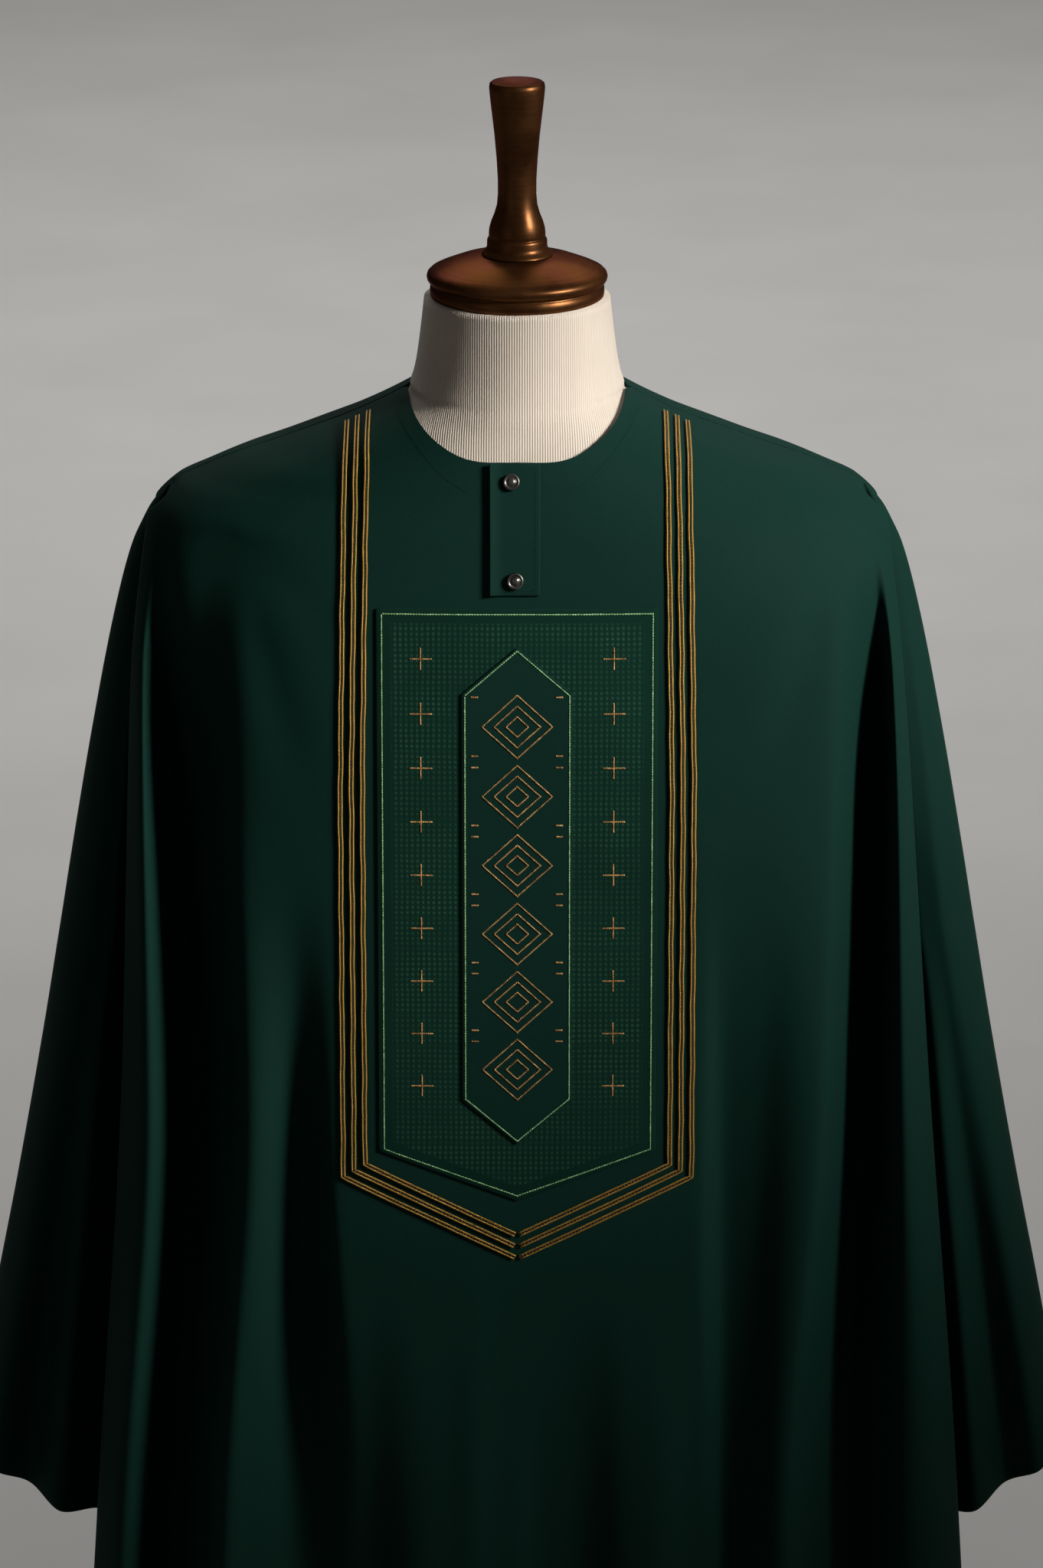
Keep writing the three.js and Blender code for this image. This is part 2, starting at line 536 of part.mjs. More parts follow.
function placket() {
  const neckline = (x) => {
    const { halfDepth, squareness } = NECKLINES.front;
    const y = halfDepth * (1 - Math.abs(x / NECK_HALF_WIDTH) ** squareness) ** (1 / squareness);
    return restHeight('front', x, y) - 1;
  };
  return appliedPiece({
    ...PLACKET, columns: evenly(4), rows: 6, topAt: neckline, bottomAt: () => PLACKET.bottom, lift: LIFT,
  });
}

function chestPanel() {
  const { halfWidth, top, side, point, thickness } = CHEST_PANEL;
  return appliedPiece({
    columns: evenly(10), rows: 14, left: -halfWidth, right: halfWidth, topAt: () => top,
    bottomAt: (x) => mix(point, side, Math.abs(x) / halfWidth), lift: LIFT, thickness,
  });
}

function innerPanel() {
  const { halfWidth, top, topSide, side, point, thickness } = INNER_PANEL;
  return appliedPiece({
    columns: evenly(4), rows: 14, left: -halfWidth, right: halfWidth,
    topAt: (x) => mix(top, topSide, Math.abs(x) / halfWidth),
    bottomAt: (x) => mix(point, side, Math.abs(x) / halfWidth),
    lift: LIFT + CHEST_PANEL.thickness + LIFT, thickness,
  });
}

// A couched cord's middle line on one side: down from the shoulder seam beside the
// applied panel, then turning in below it. Points are [distance from the middle, height].
function cordRoute(index) {
  const { shoulder, waist, turn, meet, slope, downRows, acrossRows } = CORD_ROUTE;
  const offset = index * CORD.pitch;
  const start = shoulder + offset;
  const mitre = (1 - Math.sin(slope * DEGREE)) / Math.cos(slope * DEGREE);
  const corner = { x: waist + offset, z: turn - offset * mitre };
  const end = { x: meet, z: corner.z - (corner.x - meet) * Math.tan(slope * DEGREE) };
  const ridge = ridgeHeight(start) - 1.5;
  const down = evenly(downRows).map((share) => {
    const fall = share * share;
    return [mix(start, corner.x, Math.min(fall * 2.2, 1)), mix(ridge, corner.z, fall)];
  });
  const inwards = evenly(acrossRows).map((share) => [mix(corner.x, end.x, share), mix(corner.z, end.z, share)]);
  return [...down, ...inwards.slice(1)];
}

function goldCord(hand, index) {
  const route = cordRoute(index).map(([x, z]) => new THREE.Vector2(hand * x, z));
  const rim = (side) => route.map((point, i) => {
    const along = route[Math.min(i + 1, route.length - 1)].clone().sub(route[Math.max(i - 1, 0)]).normalize();
    const x = point.x - side * along.y * CORD.width / 2;
    const z = Math.min(point.y + side * along.x * CORD.width / 2, point.y + 3);
    return panelPoint('front', x, z).addScaledVector(panelNormal('front', x, z), CORD_LIFT + CORD.thickness);
  });
  return clothWall([rim(-1), rim(1)], CORD.thickness, -1);
}

function button({ x, z }) {
  const shape = [
    [0, 0], [4.6, 0], [BUTTON_RADIUS, 0.9], [BUTTON_RADIUS, 2], [4.9, 3.1], [4.1, 3.3], [3.3, 2.9], [1.6, 3.4],
    [0, BUTTON_THICKNESS],
  ];
  const geometry = turned(shape, BUTTON_SEGMENTS);
  const normal = panelNormal('front', x, z);
  geometry.applyQuaternion(new THREE.Quaternion().setFromUnitVectors(new THREE.Vector3(0, 0, 1), normal));
  const seat = panelPoint('front', x, z).addScaledVector(normal, LIFT + PLACKET.thickness + SEAM);
  return geometry.translate(seat.x, seat.y, seat.z);
}

// ---- The dress form and its stand --------------------------------------------------------
// A solid turned round the Z axis from a profile of [radius, height].
function turned(profile, segments = ROUND_SEGMENTS) {
  const points = profile.map(([radius, height]) => new THREE.Vector2(radius, height));
  return new THREE.LatheGeometry(points, segments).rotateX(Math.PI / 2);
}

function dressForm() {
  const rings = FORM_SECTIONS.map(({ z, halfWidth, halfDepth }) => evenly(FORM_SEGMENTS).slice(0, -1).map((turn) => {
    const angle = turn * 2 * Math.PI;
    return new THREE.Vector3(halfWidth * Math.cos(angle), halfDepth * Math.sin(angle), z);
  }));
  const points = rings.flat();
  const at = (ring, i) => ring * FORM_SEGMENTS + (i % FORM_SEGMENTS);
  const quads = [];
  for (let ring = 0; ring < rings.length - 1; ring += 1) {
    for (let i = 0; i < FORM_SEGMENTS; i += 1) {
      quads.push([at(ring, i), at(ring + 1, i), at(ring + 1, i + 1), at(ring, i + 1)]);
    }
  }
  const geometry = meshFrom(points, quads);
  const index = [...geometry.index.array];
  for (let i = 1; i < FORM_SEGMENTS - 1; i += 1) {
    index.push(at(0, 0), at(0, i), at(0, i + 1));
    index.push(at(rings.length - 1, 0), at(rings.length - 1, i + 1), at(rings.length - 1, i));
  }
  geometry.setIndex(index);
  return geometry;
}

function pole() {
  const height = POLE.top - POLE.bottom;
  const geometry = new THREE.CylinderGeometry(POLE.radius, POLE.radius, height, 20).rotateX(Math.PI / 2);
  return geometry.translate(0, 0, POLE.bottom + height / 2);
}

// ---- The scene graph ---------------------------------------------------------------------
const FINISHES = {
  robe_cloth: { color: '#14302a', roughness: 0.85, metalness: 0 },
  panel_cloth: { color: '#12402a', roughness: 0.9, metalness: 0 },
  gold_thread: { color: '#a3793c', roughness: 0.55, metalness: 0.2 },
  button_metal: { color: '#4a4a48', roughness: 0.35, metalness: 0.8 },
  form_jersey: { color: '#ddd2c4', roughness: 0.9, metalness: 0 },
  cap_bronze: { color: '#7a5a3c', roughness: 0.4, metalness: 0.8 },
  stand_metal: { color: '#2c2a28', roughness: 0.5, metalness: 0.7 },
};

const agbada = new THREE.Group();
agbada.name = 'agbada';

function add(name, finish, geometry) {
  const material = new THREE.MeshStandardMaterial({ name: finish, ...FINISHES[finish] });
  const mesh = new THREE.Mesh(geometry, material);
  mesh.name = name;
  agbada.add(mesh);
}

add('front', 'robe_cloth', bodyPanel('front'));
add('back', 'robe_cloth', bodyPanel('back'));
add('sleeve_left', 'robe_cloth', sleeve(1));
add('sleeve_right', 'robe_cloth', sleeve(-1));
add('placket', 'robe_cloth', placket());
BUTTONS.forEach((place) => add(place.name, 'button_metal', button(place)));
add('chest_panel', 'panel_cloth', chestPanel());
add('inner_panel', 'robe_cloth', innerPanel());
for (const [side, hand] of [['left', 1], ['right', -1]]) {
  for (let index = 0; index < CORD.count; index += 1) {
    add(`cord_${side}_${index + 1}`, 'gold_thread', goldCord(hand, index));
  }
}
add('form', 'form_jersey', dressForm());
add('neck_cap', 'cap_bronze', turned(CAP_PROFILE));
add('cap_handle', 'cap_bronze', turned(HANDLE_PROFILE));
add('pole', 'stand_metal', pole());
add('base', 'stand_metal', turned(BASE_PROFILE, 32));

export default agbada;
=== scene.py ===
"""The looks of an agbada on a limbless dress form: cloth, embroidery, buttons, form and stand.

Sizes are in millimetres in the tables and become metres where a mesh is made.
The robe's front faces -Y, +Z is up, and the wearer's left is +X.
"""

import math

import bmesh
import bpy
from mathutils import Matrix, Vector


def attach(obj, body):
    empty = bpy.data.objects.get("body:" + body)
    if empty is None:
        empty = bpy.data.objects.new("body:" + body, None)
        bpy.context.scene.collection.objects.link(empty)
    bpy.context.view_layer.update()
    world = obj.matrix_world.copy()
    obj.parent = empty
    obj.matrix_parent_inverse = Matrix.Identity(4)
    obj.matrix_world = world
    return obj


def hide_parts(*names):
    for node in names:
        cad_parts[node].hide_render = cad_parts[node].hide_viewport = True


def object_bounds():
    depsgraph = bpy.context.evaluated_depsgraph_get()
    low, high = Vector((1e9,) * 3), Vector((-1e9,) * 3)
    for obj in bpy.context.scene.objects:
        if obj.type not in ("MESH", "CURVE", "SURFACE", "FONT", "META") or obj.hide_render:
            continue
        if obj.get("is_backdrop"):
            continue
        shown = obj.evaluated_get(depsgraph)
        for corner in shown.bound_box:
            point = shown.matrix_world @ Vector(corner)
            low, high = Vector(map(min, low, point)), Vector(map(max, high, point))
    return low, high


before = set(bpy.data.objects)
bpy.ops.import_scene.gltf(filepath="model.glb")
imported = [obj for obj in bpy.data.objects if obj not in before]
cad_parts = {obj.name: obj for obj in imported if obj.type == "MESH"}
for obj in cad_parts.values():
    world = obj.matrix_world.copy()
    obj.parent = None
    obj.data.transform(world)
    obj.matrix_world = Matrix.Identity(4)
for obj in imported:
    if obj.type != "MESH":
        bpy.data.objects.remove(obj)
cad_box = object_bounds()

MM = 0.001
BODY = "root"

# ---- The robe's sizes, as in its solids ----
CLOTH = 1.6
SEAM = 0.3
HEM_HEIGHT = 150
NECK_HALF_WIDTH = 75
NECK_HEIGHT = 1486
SHOULDER_TIP = 239
TIP_HEIGHT = 1418
UNDERARM_HEIGHT = 1100
CHEST_HEIGHT = 1300
SHOULDER_HEIGHT = 1400
LEVELS = (HEM_HEIGHT, 700, 1000, CHEST_HEIGHT, SHOULDER_HEIGHT)

# Rows are: height, half-width, front, back, fullness.
ROBE_OUTLINE = (
    (1486, 74.5, 75.7, 75.7, 2), (1476, 93.5, 81.4, 81.4, 2), (1464.5, 119, 87.7, 87.7, 2),
    (1456.5, 141, 91, 91, 2), (1445.5, 171, 95.5, 95.5, 2), (1437, 196, 98.8, 98.8, 2),
    (1426, 222, 102.7, 102.7, 2), (1418, 239, 105.4, 105.4, 2.07), (1400, 258, 111, 111, 2.3),
    (1342, 272, 122, 122, 2.9), (1275, 282, 129, 129, 3), (1141, 296, 136, 138, 3),
    (1000, 308, 142, 148, 3), (793, 328, 152, 162, 3), (620, 338, 163, 172, 3),
    (400, 354, 176, 184, 3), (150, 374, 190, 196, 3),
)
# Rows are: height, distance from the middle, half-opening of the armhole.
SIDE_LINE = (
    (1418, 239, 0), (1398, 245.5, 6), (1380, 250, 10), (1300, 255, 15), (1200, 259, 12),
    (1100, 262, 0), (1000, 264, 0), (600, 274, 0), (400, 300, 0), (150, 332, 0),
)
# Rows are: name, angle on the top edge, distances at the hem, thigh, waist, chest and shoulder,
# the heights where the fold starts and is full, and how deep it is there (below zero for a crest).
FRONT_FOLDS = (
    ("edge_r", -176, (-340, -302, -280, -268, -257), 1400, 1150, 8),
    ("ridge_r", -172, (-316, -280, -258, -259, -250), 1400, 1150, -10),
    ("valley_r", -166, (-272, -244, -228, -247, -244), 1400, 1200, 60),
    ("bright_r", -142, (-234, -206, -186, -190, -186), 1250, 900, -8),
    ("trough_r", -122, (-158, -154, -152, -154, -150), 1180, 850, 30),
    ("frame_r", -108, (-116, -112, -127, -128, -120), 890, 600, 13),
    ("crest_r", -90, (-76, -62, -64, -66, -70), 890, 600, -8),
    ("middle", 0, (-8, -6, 0, 0, 0), 880, 500, 4),
    ("dip", 40, (44, 38, 38, 36, 36), 890, 600, 14),
    ("crest_l", 90, (108, 98, 96, 92, 84), 890, 600, -9),
    ("frame_l", 108, (142, 132, 129, 128, 120), 890, 600, 4),
    ("trough_l", 120, (160, 146, 142, 142, 136), 1180, 850, 18),
    ("narrow_l", 138, (208, 190, 212, 218, 206), 1330, 1000, -12),
    ("valley_l", 166, (254, 232, 243, 249, 244), 1400, 1200, 58),
    ("ridge_l", 172, (318, 290, 272, 260, 250), 1400, 1150, -11),
    ("edge_l", 176, (352, 318, 292, 268, 257), 1400, 1150, 0),
)
BACK_FOLDS = (
    ("edge_r", -176, (-344, -306, -282, -264, -254), 1400, 1150, 10),
    ("valley_r", -158, (-276, -248, -232, -226, -226), 1330, 1050, 36),
    ("crest_r", -132, (-212, -190, -178, -172, -168), 1300, 900, -8),
    ("trough_r", -108, (-136, -126, -122, -120, -118), 1260, 850, 26),
    ("side_r", -90, (-70, -68, -70, -72, -74), 1200, 800, -8),
    ("middle", 0, (-6, -4, -2, 0, 0), 1240, 800, 18),
    ("side_l", 90, (66, 62, 66, 72, 74), 1220, 800, -9),
    ("trough_l", 110, (130, 120, 118, 124, 122), 1240, 850, 28),
    ("crest_l", 136, (208, 184, 176, 178, 176), 1300, 900, -8),
    ("valley_l", 160, (280, 252, 236, 232, 230), 1340, 1050, 38),
    ("edge_l", 176, (346, 310, 286, 264, 253), 1400, 1150, 8),
)
# Soft creases on the front and back: from one place to another, each (distance, height),
# then the crease's half-width and depth (below zero for a ridge).
FRONT_CREASES = (
    ((222, 1402), (176, 1236), 14, 2.2), ((214, 1412), (128, 1330), 16, 1.2),
    ((-206, 1398), (-204, 1165), 14, 4.2), ((-231, 1397), (-235, 1165), 9, -5.0),
    ((-198, 1408), (-150, 1236), 15, 2.0), ((-212, 1412), (-120, 1340), 16, 1.2),
    ((176, 1120), (164, 560), 10, 3.0), ((120, 850), (132, 300), 14, 4.0),
    ((-100, 860), (-96, 260), 15, 4.5), ((-30, 860), (-34, 240), 13, -3.5),
    ((70, 840), (76, 330), 12, -3.0), ((14, 780), (18, 200), 11, 3.4),
    ((-186, 1080), (-196, 420), 10, 3.0), ((268, 1010), (300, 420), 10, 3.4),
    ((-226, 900), (-246, 300), 9, -3.2),
)
BACK_CREASES = (
    ((226, 1402), (170, 1230), 14, 2.6), ((-226, 1402), (-176, 1210), 14, 2.8),
    ((206, 1150), (214, 600), 10, 3.2), ((-204, 1100), (-212, 500), 10, 3.2),
    ((96, 1050), (98, 300), 12, -3.4), ((-98, 1000), (-104, 260), 12, -3.2),
    ((30, 1120), (28, 360), 12, 3.0), ((-40, 1060), (-42, 300), 11, 3.0),
)
# Rows are: height, how far the sleeve stands from the side line, its outer edge, its depth.
SLEEVE_OUTLINE = (
    (1416, 0.9, 241.2, 0.5), (1408, 0.9, 249.5, 6.5), (1400, 0.9, 256, 9.5),
    (1391, 0.9, 260.3, 12.5), (1374, 0.9, 268.3, 16), (1326, 0.9, 281.3, 22),
    (1242, 0.9, 298.5, 31), (1136, 0.9, 317.5, 40), (1100, 0.9, 323.5, 42),
    (1080, 3.5, 327, 43), (1022, 8.5, 337, 45), (900, 12.5, 360, 47), (812, 15.5, 378, 48),
    (640, 19, 410, 52),
)
# Rows are: name, place across the tube, how far it stands forward or back, its fold at the hem.
SLEEVE_FOLDS = (
    ("under_front", 0, 0, 0),
    ("front_inner", 0.14, -0.48, 4),
    ("front_crest", 0.36, -0.95, -7),
    ("front_dip", 0.58, -0.98, 15),
    ("front_outer", 0.82, -0.72, -6),
    ("outer", 1, 0, 0),
    ("back_outer", 0.8, 0.76, 7),
    ("back_dip", 0.56, 1, -14),
    ("back_crest", 0.34, 0.95, 8),
    ("back_inner", 0.13, 0.48, -3),
    ("under_back", 0, 0, 0),
)
SLEEVE_TOP = SLEEVE_OUTLINE[0][0]
SLEEVE_HEM = {"height": 644, "at": 307, "slope": 0.57}
SLEEVE_FOLD_START = 1150
SLEEVE_FOLD_FULL = 700
ARMHOLE_EASE = 0.8

PLACKET = {"left": -18.4, "right": 15.6, "bottom": 1367, "thickness": 1.4}
BUTTONS = {"button_upper": (-3.8, 1441), "button_lower": (-1.2, 1377)}
CHEST_PANEL = {"half": 96, "top": 1358, "side": 972, "point": 936, "thickness": 1}
INNER_PANEL = {"half": 38, "top": 1332, "top_side": 1300, "side": 1010, "point": 978, "thickness": 1}
CORD = {"width": 3.6, "pitch": 7.6, "count": 3}
CORD_ROUTE = {"shoulder": 102, "waist": 106, "turn": 962, "meet": 1.7, "slope": 26}
LIFT = 0.5
CORD_LIFT = 0.8

# Rows are: height, half-width, half-depth.
FORM_SECTIONS = (
    (1548, 64.2, 61.8), (1536, 65.5, 62.6), (1524, 66.9, 63.9), (1512, 68.5, 65.7),
    (1502, 70.1, 67.7), (1494, 72, 69.9), (1489, 73.7, 71.6), (1487, 74.1, 72.4),
    (1484.5, 73.8, 73.6), (1482, 75, 75), (1476, 83.5, 78.2), (1471.5, 91.8, 80),
    (1460.5, 117.5, 85.2), (1452, 139.5, 89), (1441, 169, 93.5), (1432.5, 194, 96.7),
    (1423.5, 216.5, 99.7), (1415, 231, 102.4), (1406, 236, 105.8), (1390, 236, 110),
    (1340, 230, 119), (1280, 213, 124), (1220, 194, 125), (1150, 184, 120), (1080, 172, 112),
    (1000, 162, 106), (930, 166, 112), (860, 176, 120), (800, 182, 122), (765, 180, 120),
    (752, 172, 112), (748, 160, 102),
)


# ---- Smooth lines through the tables ----
def mix(start, end, share):
    return start + (end - start) * share


def clamp(value, low=0.0, high=1.0):
    return min(max(value, low), high)


def smooth_curve(knots, values):
    """A curve through values at rising knots, which never swings past them."""
    last = len(knots) - 1
    steps = [(values[i + 1] - values[i]) / (knots[i + 1] - knots[i]) for i in range(last)]
    slopes = []
    for i in range(last + 1):
        before, after = steps[max(i - 1, 0)], steps[min(i, last - 1)]
        slopes.append(0.0 if before * after <= 0 else 2 * before * after / (before + after))

    def curve(at):
        x = clamp(at, knots[0], knots[last])
        i = 0
        while i < last - 1 and x > knots[i + 1]:
            i += 1
        width = knots[i + 1] - knots[i]
        t = (x - knots[i]) / width
        leave = t * (1 - t) * (1 - t) * width * slopes[i]
        arrive = t * t * (1 - t) * width * slopes[i + 1]
        return mix(values[i], values[i + 1], t * t * (3 - 2 * t)) + leave - arrive

    return curve


def curves_by_height(table):
    """A curve for each column after the first, which holds falling heights."""
    heights, *columns = zip(*table[::-1])
    return [smooth_curve(heights, column) for column in columns]


def solve_falling(fn, value, low, high):
    """The input at which a function that falls as its input rises reaches a value."""
    for _ in range(40):
        middle = (low + high) / 2
        if fn(middle) > value:
            low = middle
        else:
            high = middle
    return (low + high) / 2


def growth(z, start, full):
    t = clamp((start - z) / (start - full))
    return t * t * (3 - 2 * t)


# ---- The robe's surface ----
half_width, front_depth, back_depth, fullness = curves_by_height(ROBE_OUTLINE)
side_out, side_gape = curves_by_height(SIDE_LINE)


class Panel:
    """The front or the back: its plain outline, its folds and its creases."""

    def __init__(self, sign, depth, folds, creases, neck_depth, squareness):
        self.sign, self.depth, self.creases = sign, depth, creases
        self.neck_depth, self.squareness = neck_depth, squareness
        self.folds = folds
        self.distances = [smooth_curve(LEVELS, fold[2]) for fold in folds]
        self.places = list(range(len(folds)))
        self.top_angle = smooth_curve(self.places, [fold[1] for fold in folds])
        self.across_at = {}

    def rest_height(self, x, y):
        def reach(z):
            return 1 / ((x / half_width(z)) ** 2 + (y / self.depth(z)) ** 2)

        return solve_falling(reach, 1, SHOULDER_HEIGHT, NECK_HEIGHT)

    def top_edge(self, angle):
        size = abs(angle)
        hand = math.copysign(1, angle)
        if size >= 90:
            x = mix(NECK_HALF_WIDTH, SHOULDER_TIP, (size - 90) / 90)
            return Vector((hand * x, 0, solve_falling(half_width, x, TIP_HEIGHT, NECK_HEIGHT)))
        x = NECK_HALF_WIDTH * math.sin(math.radians(size)) ** (2 / self.squareness)
        y = self.neck_depth * math.cos(math.radians(size)) ** (2 / self.squareness)
        return Vector((hand * x, self.sign * y, self.rest_height(x, y)))

    def lines_at(self, z):
        """The fold lines' distances and depths at a height, as curves, kept for the next time."""
        key = round(z, 2)
        if key not in self.across_at:
            distances = [distance(z) for distance in self.distances]
            depths = [fold[5] * growth(z, fold[3], fold[4]) for fold in self.folds]
            curves = smooth_curve(self.places, distances), smooth_curve(distances, depths)
            self.across_at[key] = curves
        return self.across_at[key]

    def crease_depth(self, x, z):
        total = 0.0
        for (x0, z0), (x1, z1), width, depth in self.creases:
            square = (x1 - x0) ** 2 + (z1 - z0) ** 2
            along = clamp(((x - x0) * (x1 - x0) + (z - z0) * (z1 - z0)) / square)
            off = math.hypot(x - mix(x0, x1, along), z - mix(z0, z1, along)) / width
            if off < 3:
                ends = math.sin(math.pi * clamp(along, 0.02, 0.98)) ** 0.6
                total += depth * math.exp(-off * off) * ends
        return total

    def point(self, x, z):
        reach = min(abs(x) / half_width(z), 1)
        power = fullness(z)
        stand = self.depth(z) * (1 - reach**power) ** (1 / power)
        if z < SHOULDER_HEIGHT:
            stand -= self.lines_at(z)[1](x) + self.crease_depth(x, z)
        return Vector((x, self.sign * max(stand, SEAM / 2), z))

    def normal(self, x, z, step=1.5):
        across = self.point(x + step, z) - self.point(x - step, z)
        down = self.point(x, z - step) - self.point(x, z + step)
        return across.cross(down).normalized() * self.sign

    def raised(self, x, z, lift):
        return self.point(x, z) + self.normal(x, z) * lift

    def column(self, place, rows):
        """Points down the panel at a place between its fold lines, for rows from 0 to 1."""
        top = self.top_edge(self.top_angle(place))
        for row in rows:
            z = row_height(top.z, row)
            share = max((z - SHOULDER_HEIGHT) / (top.z - SHOULDER_HEIGHT), 0)
            x = mix(self.lines_at(min(z, SHOULDER_HEIGHT))[0](place), top.x, share)
            yield self.point(x, z)


CHEST_SHARE = 0.28  # the share of the rows above the chest


def row_height(top, row):
    if row < CHEST_SHARE:
        return mix(top, CHEST_HEIGHT, (row / CHEST_SHARE) ** 2)
    return mix(CHEST_HEIGHT, HEM_HEIGHT, ((row - CHEST_SHARE) / (1 - CHEST_SHARE)) ** 1.15)


FRONT = Panel(-1, front_depth, FRONT_FOLDS, FRONT_CREASES, neck_depth=92, squareness=3)
BACK = Panel(1, back_depth, BACK_FOLDS, BACK_CREASES, neck_depth=75, squareness=2.3)
STRIP_SHARE = 0.06  # of the columns, on each side, for the strip from the side line to the outer fold
SEAM_EASE = 2.3  # draws the strip's columns towards the seam, so that its edge stays crisp
FINE_PLACES = 400  # steps over the fold lines, to spread the columns evenly


def panel_grid(panel, columns, rows):
    """The panel's points as columns of rows, evenly spread over the width at the thigh."""
    last = len(panel.folds) - 1
    thigh = panel.lines_at(LEVELS[1])[0]
    fine = [i * last / FINE_PLACES for i in range(FINE_PLACES + 1)]
    spread = [0.0]
    for before, after in zip(fine, fine[1:]):
        bend = abs(panel.top_angle(after) - panel.top_angle(before)) * 0.8
        spread.append(spread[-1] + max(thigh(after) - thigh(before), bend))
    place_at = smooth_curve([value / spread[-1] for value in spread], fine)
    shares = [j / rows for j in range(rows + 1)]
    strip = max(round(columns * STRIP_SHARE), 3)
    inner = columns - 2 * strip
    middle = [list(panel.column(place_at(i / inner), shares)) for i in range(inner + 1)]
    grid = []
    for hand, edge in ((-1, middle[0]), (1, middle[-1])):
        seam = []
        for share in shares:
            z = row_height(TIP_HEIGHT, share)
            seam.append(Vector((hand * side_out(z), panel.sign * max(side_gape(z), SEAM / 2), z)))
        part = [[a.lerp(b, (i / strip) ** SEAM_EASE) for a, b in zip(seam, edge)] for i in range(strip)]
        grid.append(part if hand < 0 else part[::-1])
    return grid[0] + middle + grid[1]


# ---- Making meshes ----
def to_mesh(bm, name):
    mesh = bpy.data.meshes.new(name)
    for face in bm.faces:
        face.smooth = True
    bm.to_mesh(mesh)
    bm.free()
    return mesh


def add_object(name, data):
    thing = bpy.data.objects.new(name, data)
    bpy.context.scene.collection.objects.link(thing)
    return thing


def new_piece(name, bm, material, slot):
    piece = add_object(name, to_mesh(bm, name))
    piece.data.materials.append(material)
    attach(piece, BODY)
    return piece


def mapped_grid(columns, rows, place, texture=None):
    """A bmesh grid whose vertices go where place(column, row) says, with a UV map in metres."""
    bm = bmesh.new()
    bmesh.ops.create_grid(bm, x_segments=columns, y_segments=rows, size=0.5)
    low = min(v.co.x for v in bm.verts), max(v.co.y for v in bm.verts)
    wide = max(v.co.x for v in bm.verts) - low[0]
    tall = low[1] - min(v.co.y for v in bm.verts)
    index = {}
    for v in bm.verts:
        index[v] = round((v.co.x - low[0]) / wide * columns), round((low[1] - v.co.y) / tall * rows)
    for v, (i, j) in index.items():
        v.co = place(i, j) * MM
    uv = bm.loops.layers.uv.new("UVMap")
    for face in bm.faces:
        for loop in face.loops:
            i, j = index[loop.vert]
            loop[uv].uv = texture(i, j) if texture else loop.vert.co.xz
    return bm


def face_out(bm, outward):
    """Turns every face so that the mesh faces along outward(face centre) on the whole."""
    bm.normal_update()
    total = sum(f.normal.dot(outward(f.calc_center_median())) * f.calc_area() for f in bm.faces)
    if total < 0:
        bmesh.ops.reverse_faces(bm, faces=bm.faces)


def close_tube(bm):
    """Joins a rolled grid's two edges and closes its ends."""
    bmesh.ops.remove_doubles(bm, verts=bm.verts, dist=1e-6)
    bmesh.ops.holes_fill(bm, edges=[e for e in bm.edges if e.is_boundary], sides=0)
    bmesh.ops.recalc_face_normals(bm, faces=bm.faces)


def soften_edges(piece, width, angle=30):
    edge = piece.modifiers.new("soft_edge", "BEVEL")
    edge.width = width * MM
    edge.segments = 2
    edge.limit_method = "ANGLE"
    edge.angle_limit = math.radians(angle)


def cloth_piece(name, grid, material, slot, thickness=CLOTH, levels=1, outward=None, texture=None):
    """A wall of cloth whose outer face goes through the grid's points."""
    columns, rows = len(grid) - 1, len(grid[0]) - 1
    bm = mapped_grid(columns, rows, lambda i, j: grid[i][j], texture)
    face_out(bm, outward or (lambda centre: Vector((centre.x * 0.2, centre.y, 0))))
    piece = new_piece(name, bm, material, slot)
    wall = piece.modifiers.new("thickness", "SOLIDIFY")
    wall.thickness = thickness * MM
    wall.offset = -1
    wall.use_rim = True
    if levels:
        smooth = piece.modifiers.new("smooth", "SUBSURF")
        smooth.levels = smooth.render_levels = levels
    return piece


# ---- Materials ----
class Value:
    """A number in a material's nodes. Sums with it add Math nodes."""

    def __init__(self, paint, socket):
        self.paint, self.socket = paint, socket

    def _math(self, operation, first, second=None):
        inputs = {0: first} if second is None else {0: first, 1: second}
        node = self.paint.node("ShaderNodeMath", {"operation": operation}, inputs)
        return Value(self.paint, node.outputs[0])

    def __add__(self, other):
        return self._math("ADD", self, other)

    __radd__ = __add__

    def __sub__(self, other):
        return self._math("SUBTRACT", self, other)

    def __rsub__(self, other):
        return self._math("SUBTRACT", other, self)

    def __mul__(self, other):
        return self._math("MULTIPLY", self, other)

    __rmul__ = __mul__

    def __truediv__(self, other):
        return self._math("DIVIDE", self, other)

    def sine(self):
        return self._math("SINE", self)

    def absolute(self):
        return self._math("ABSOLUTE", self)

    def fraction(self):
        return self._math("FRACT", self)

    def least(self, other):
        return self._math("MINIMUM", self, other)

    def most(self, other):
        return self._math("MAXIMUM", self, other)


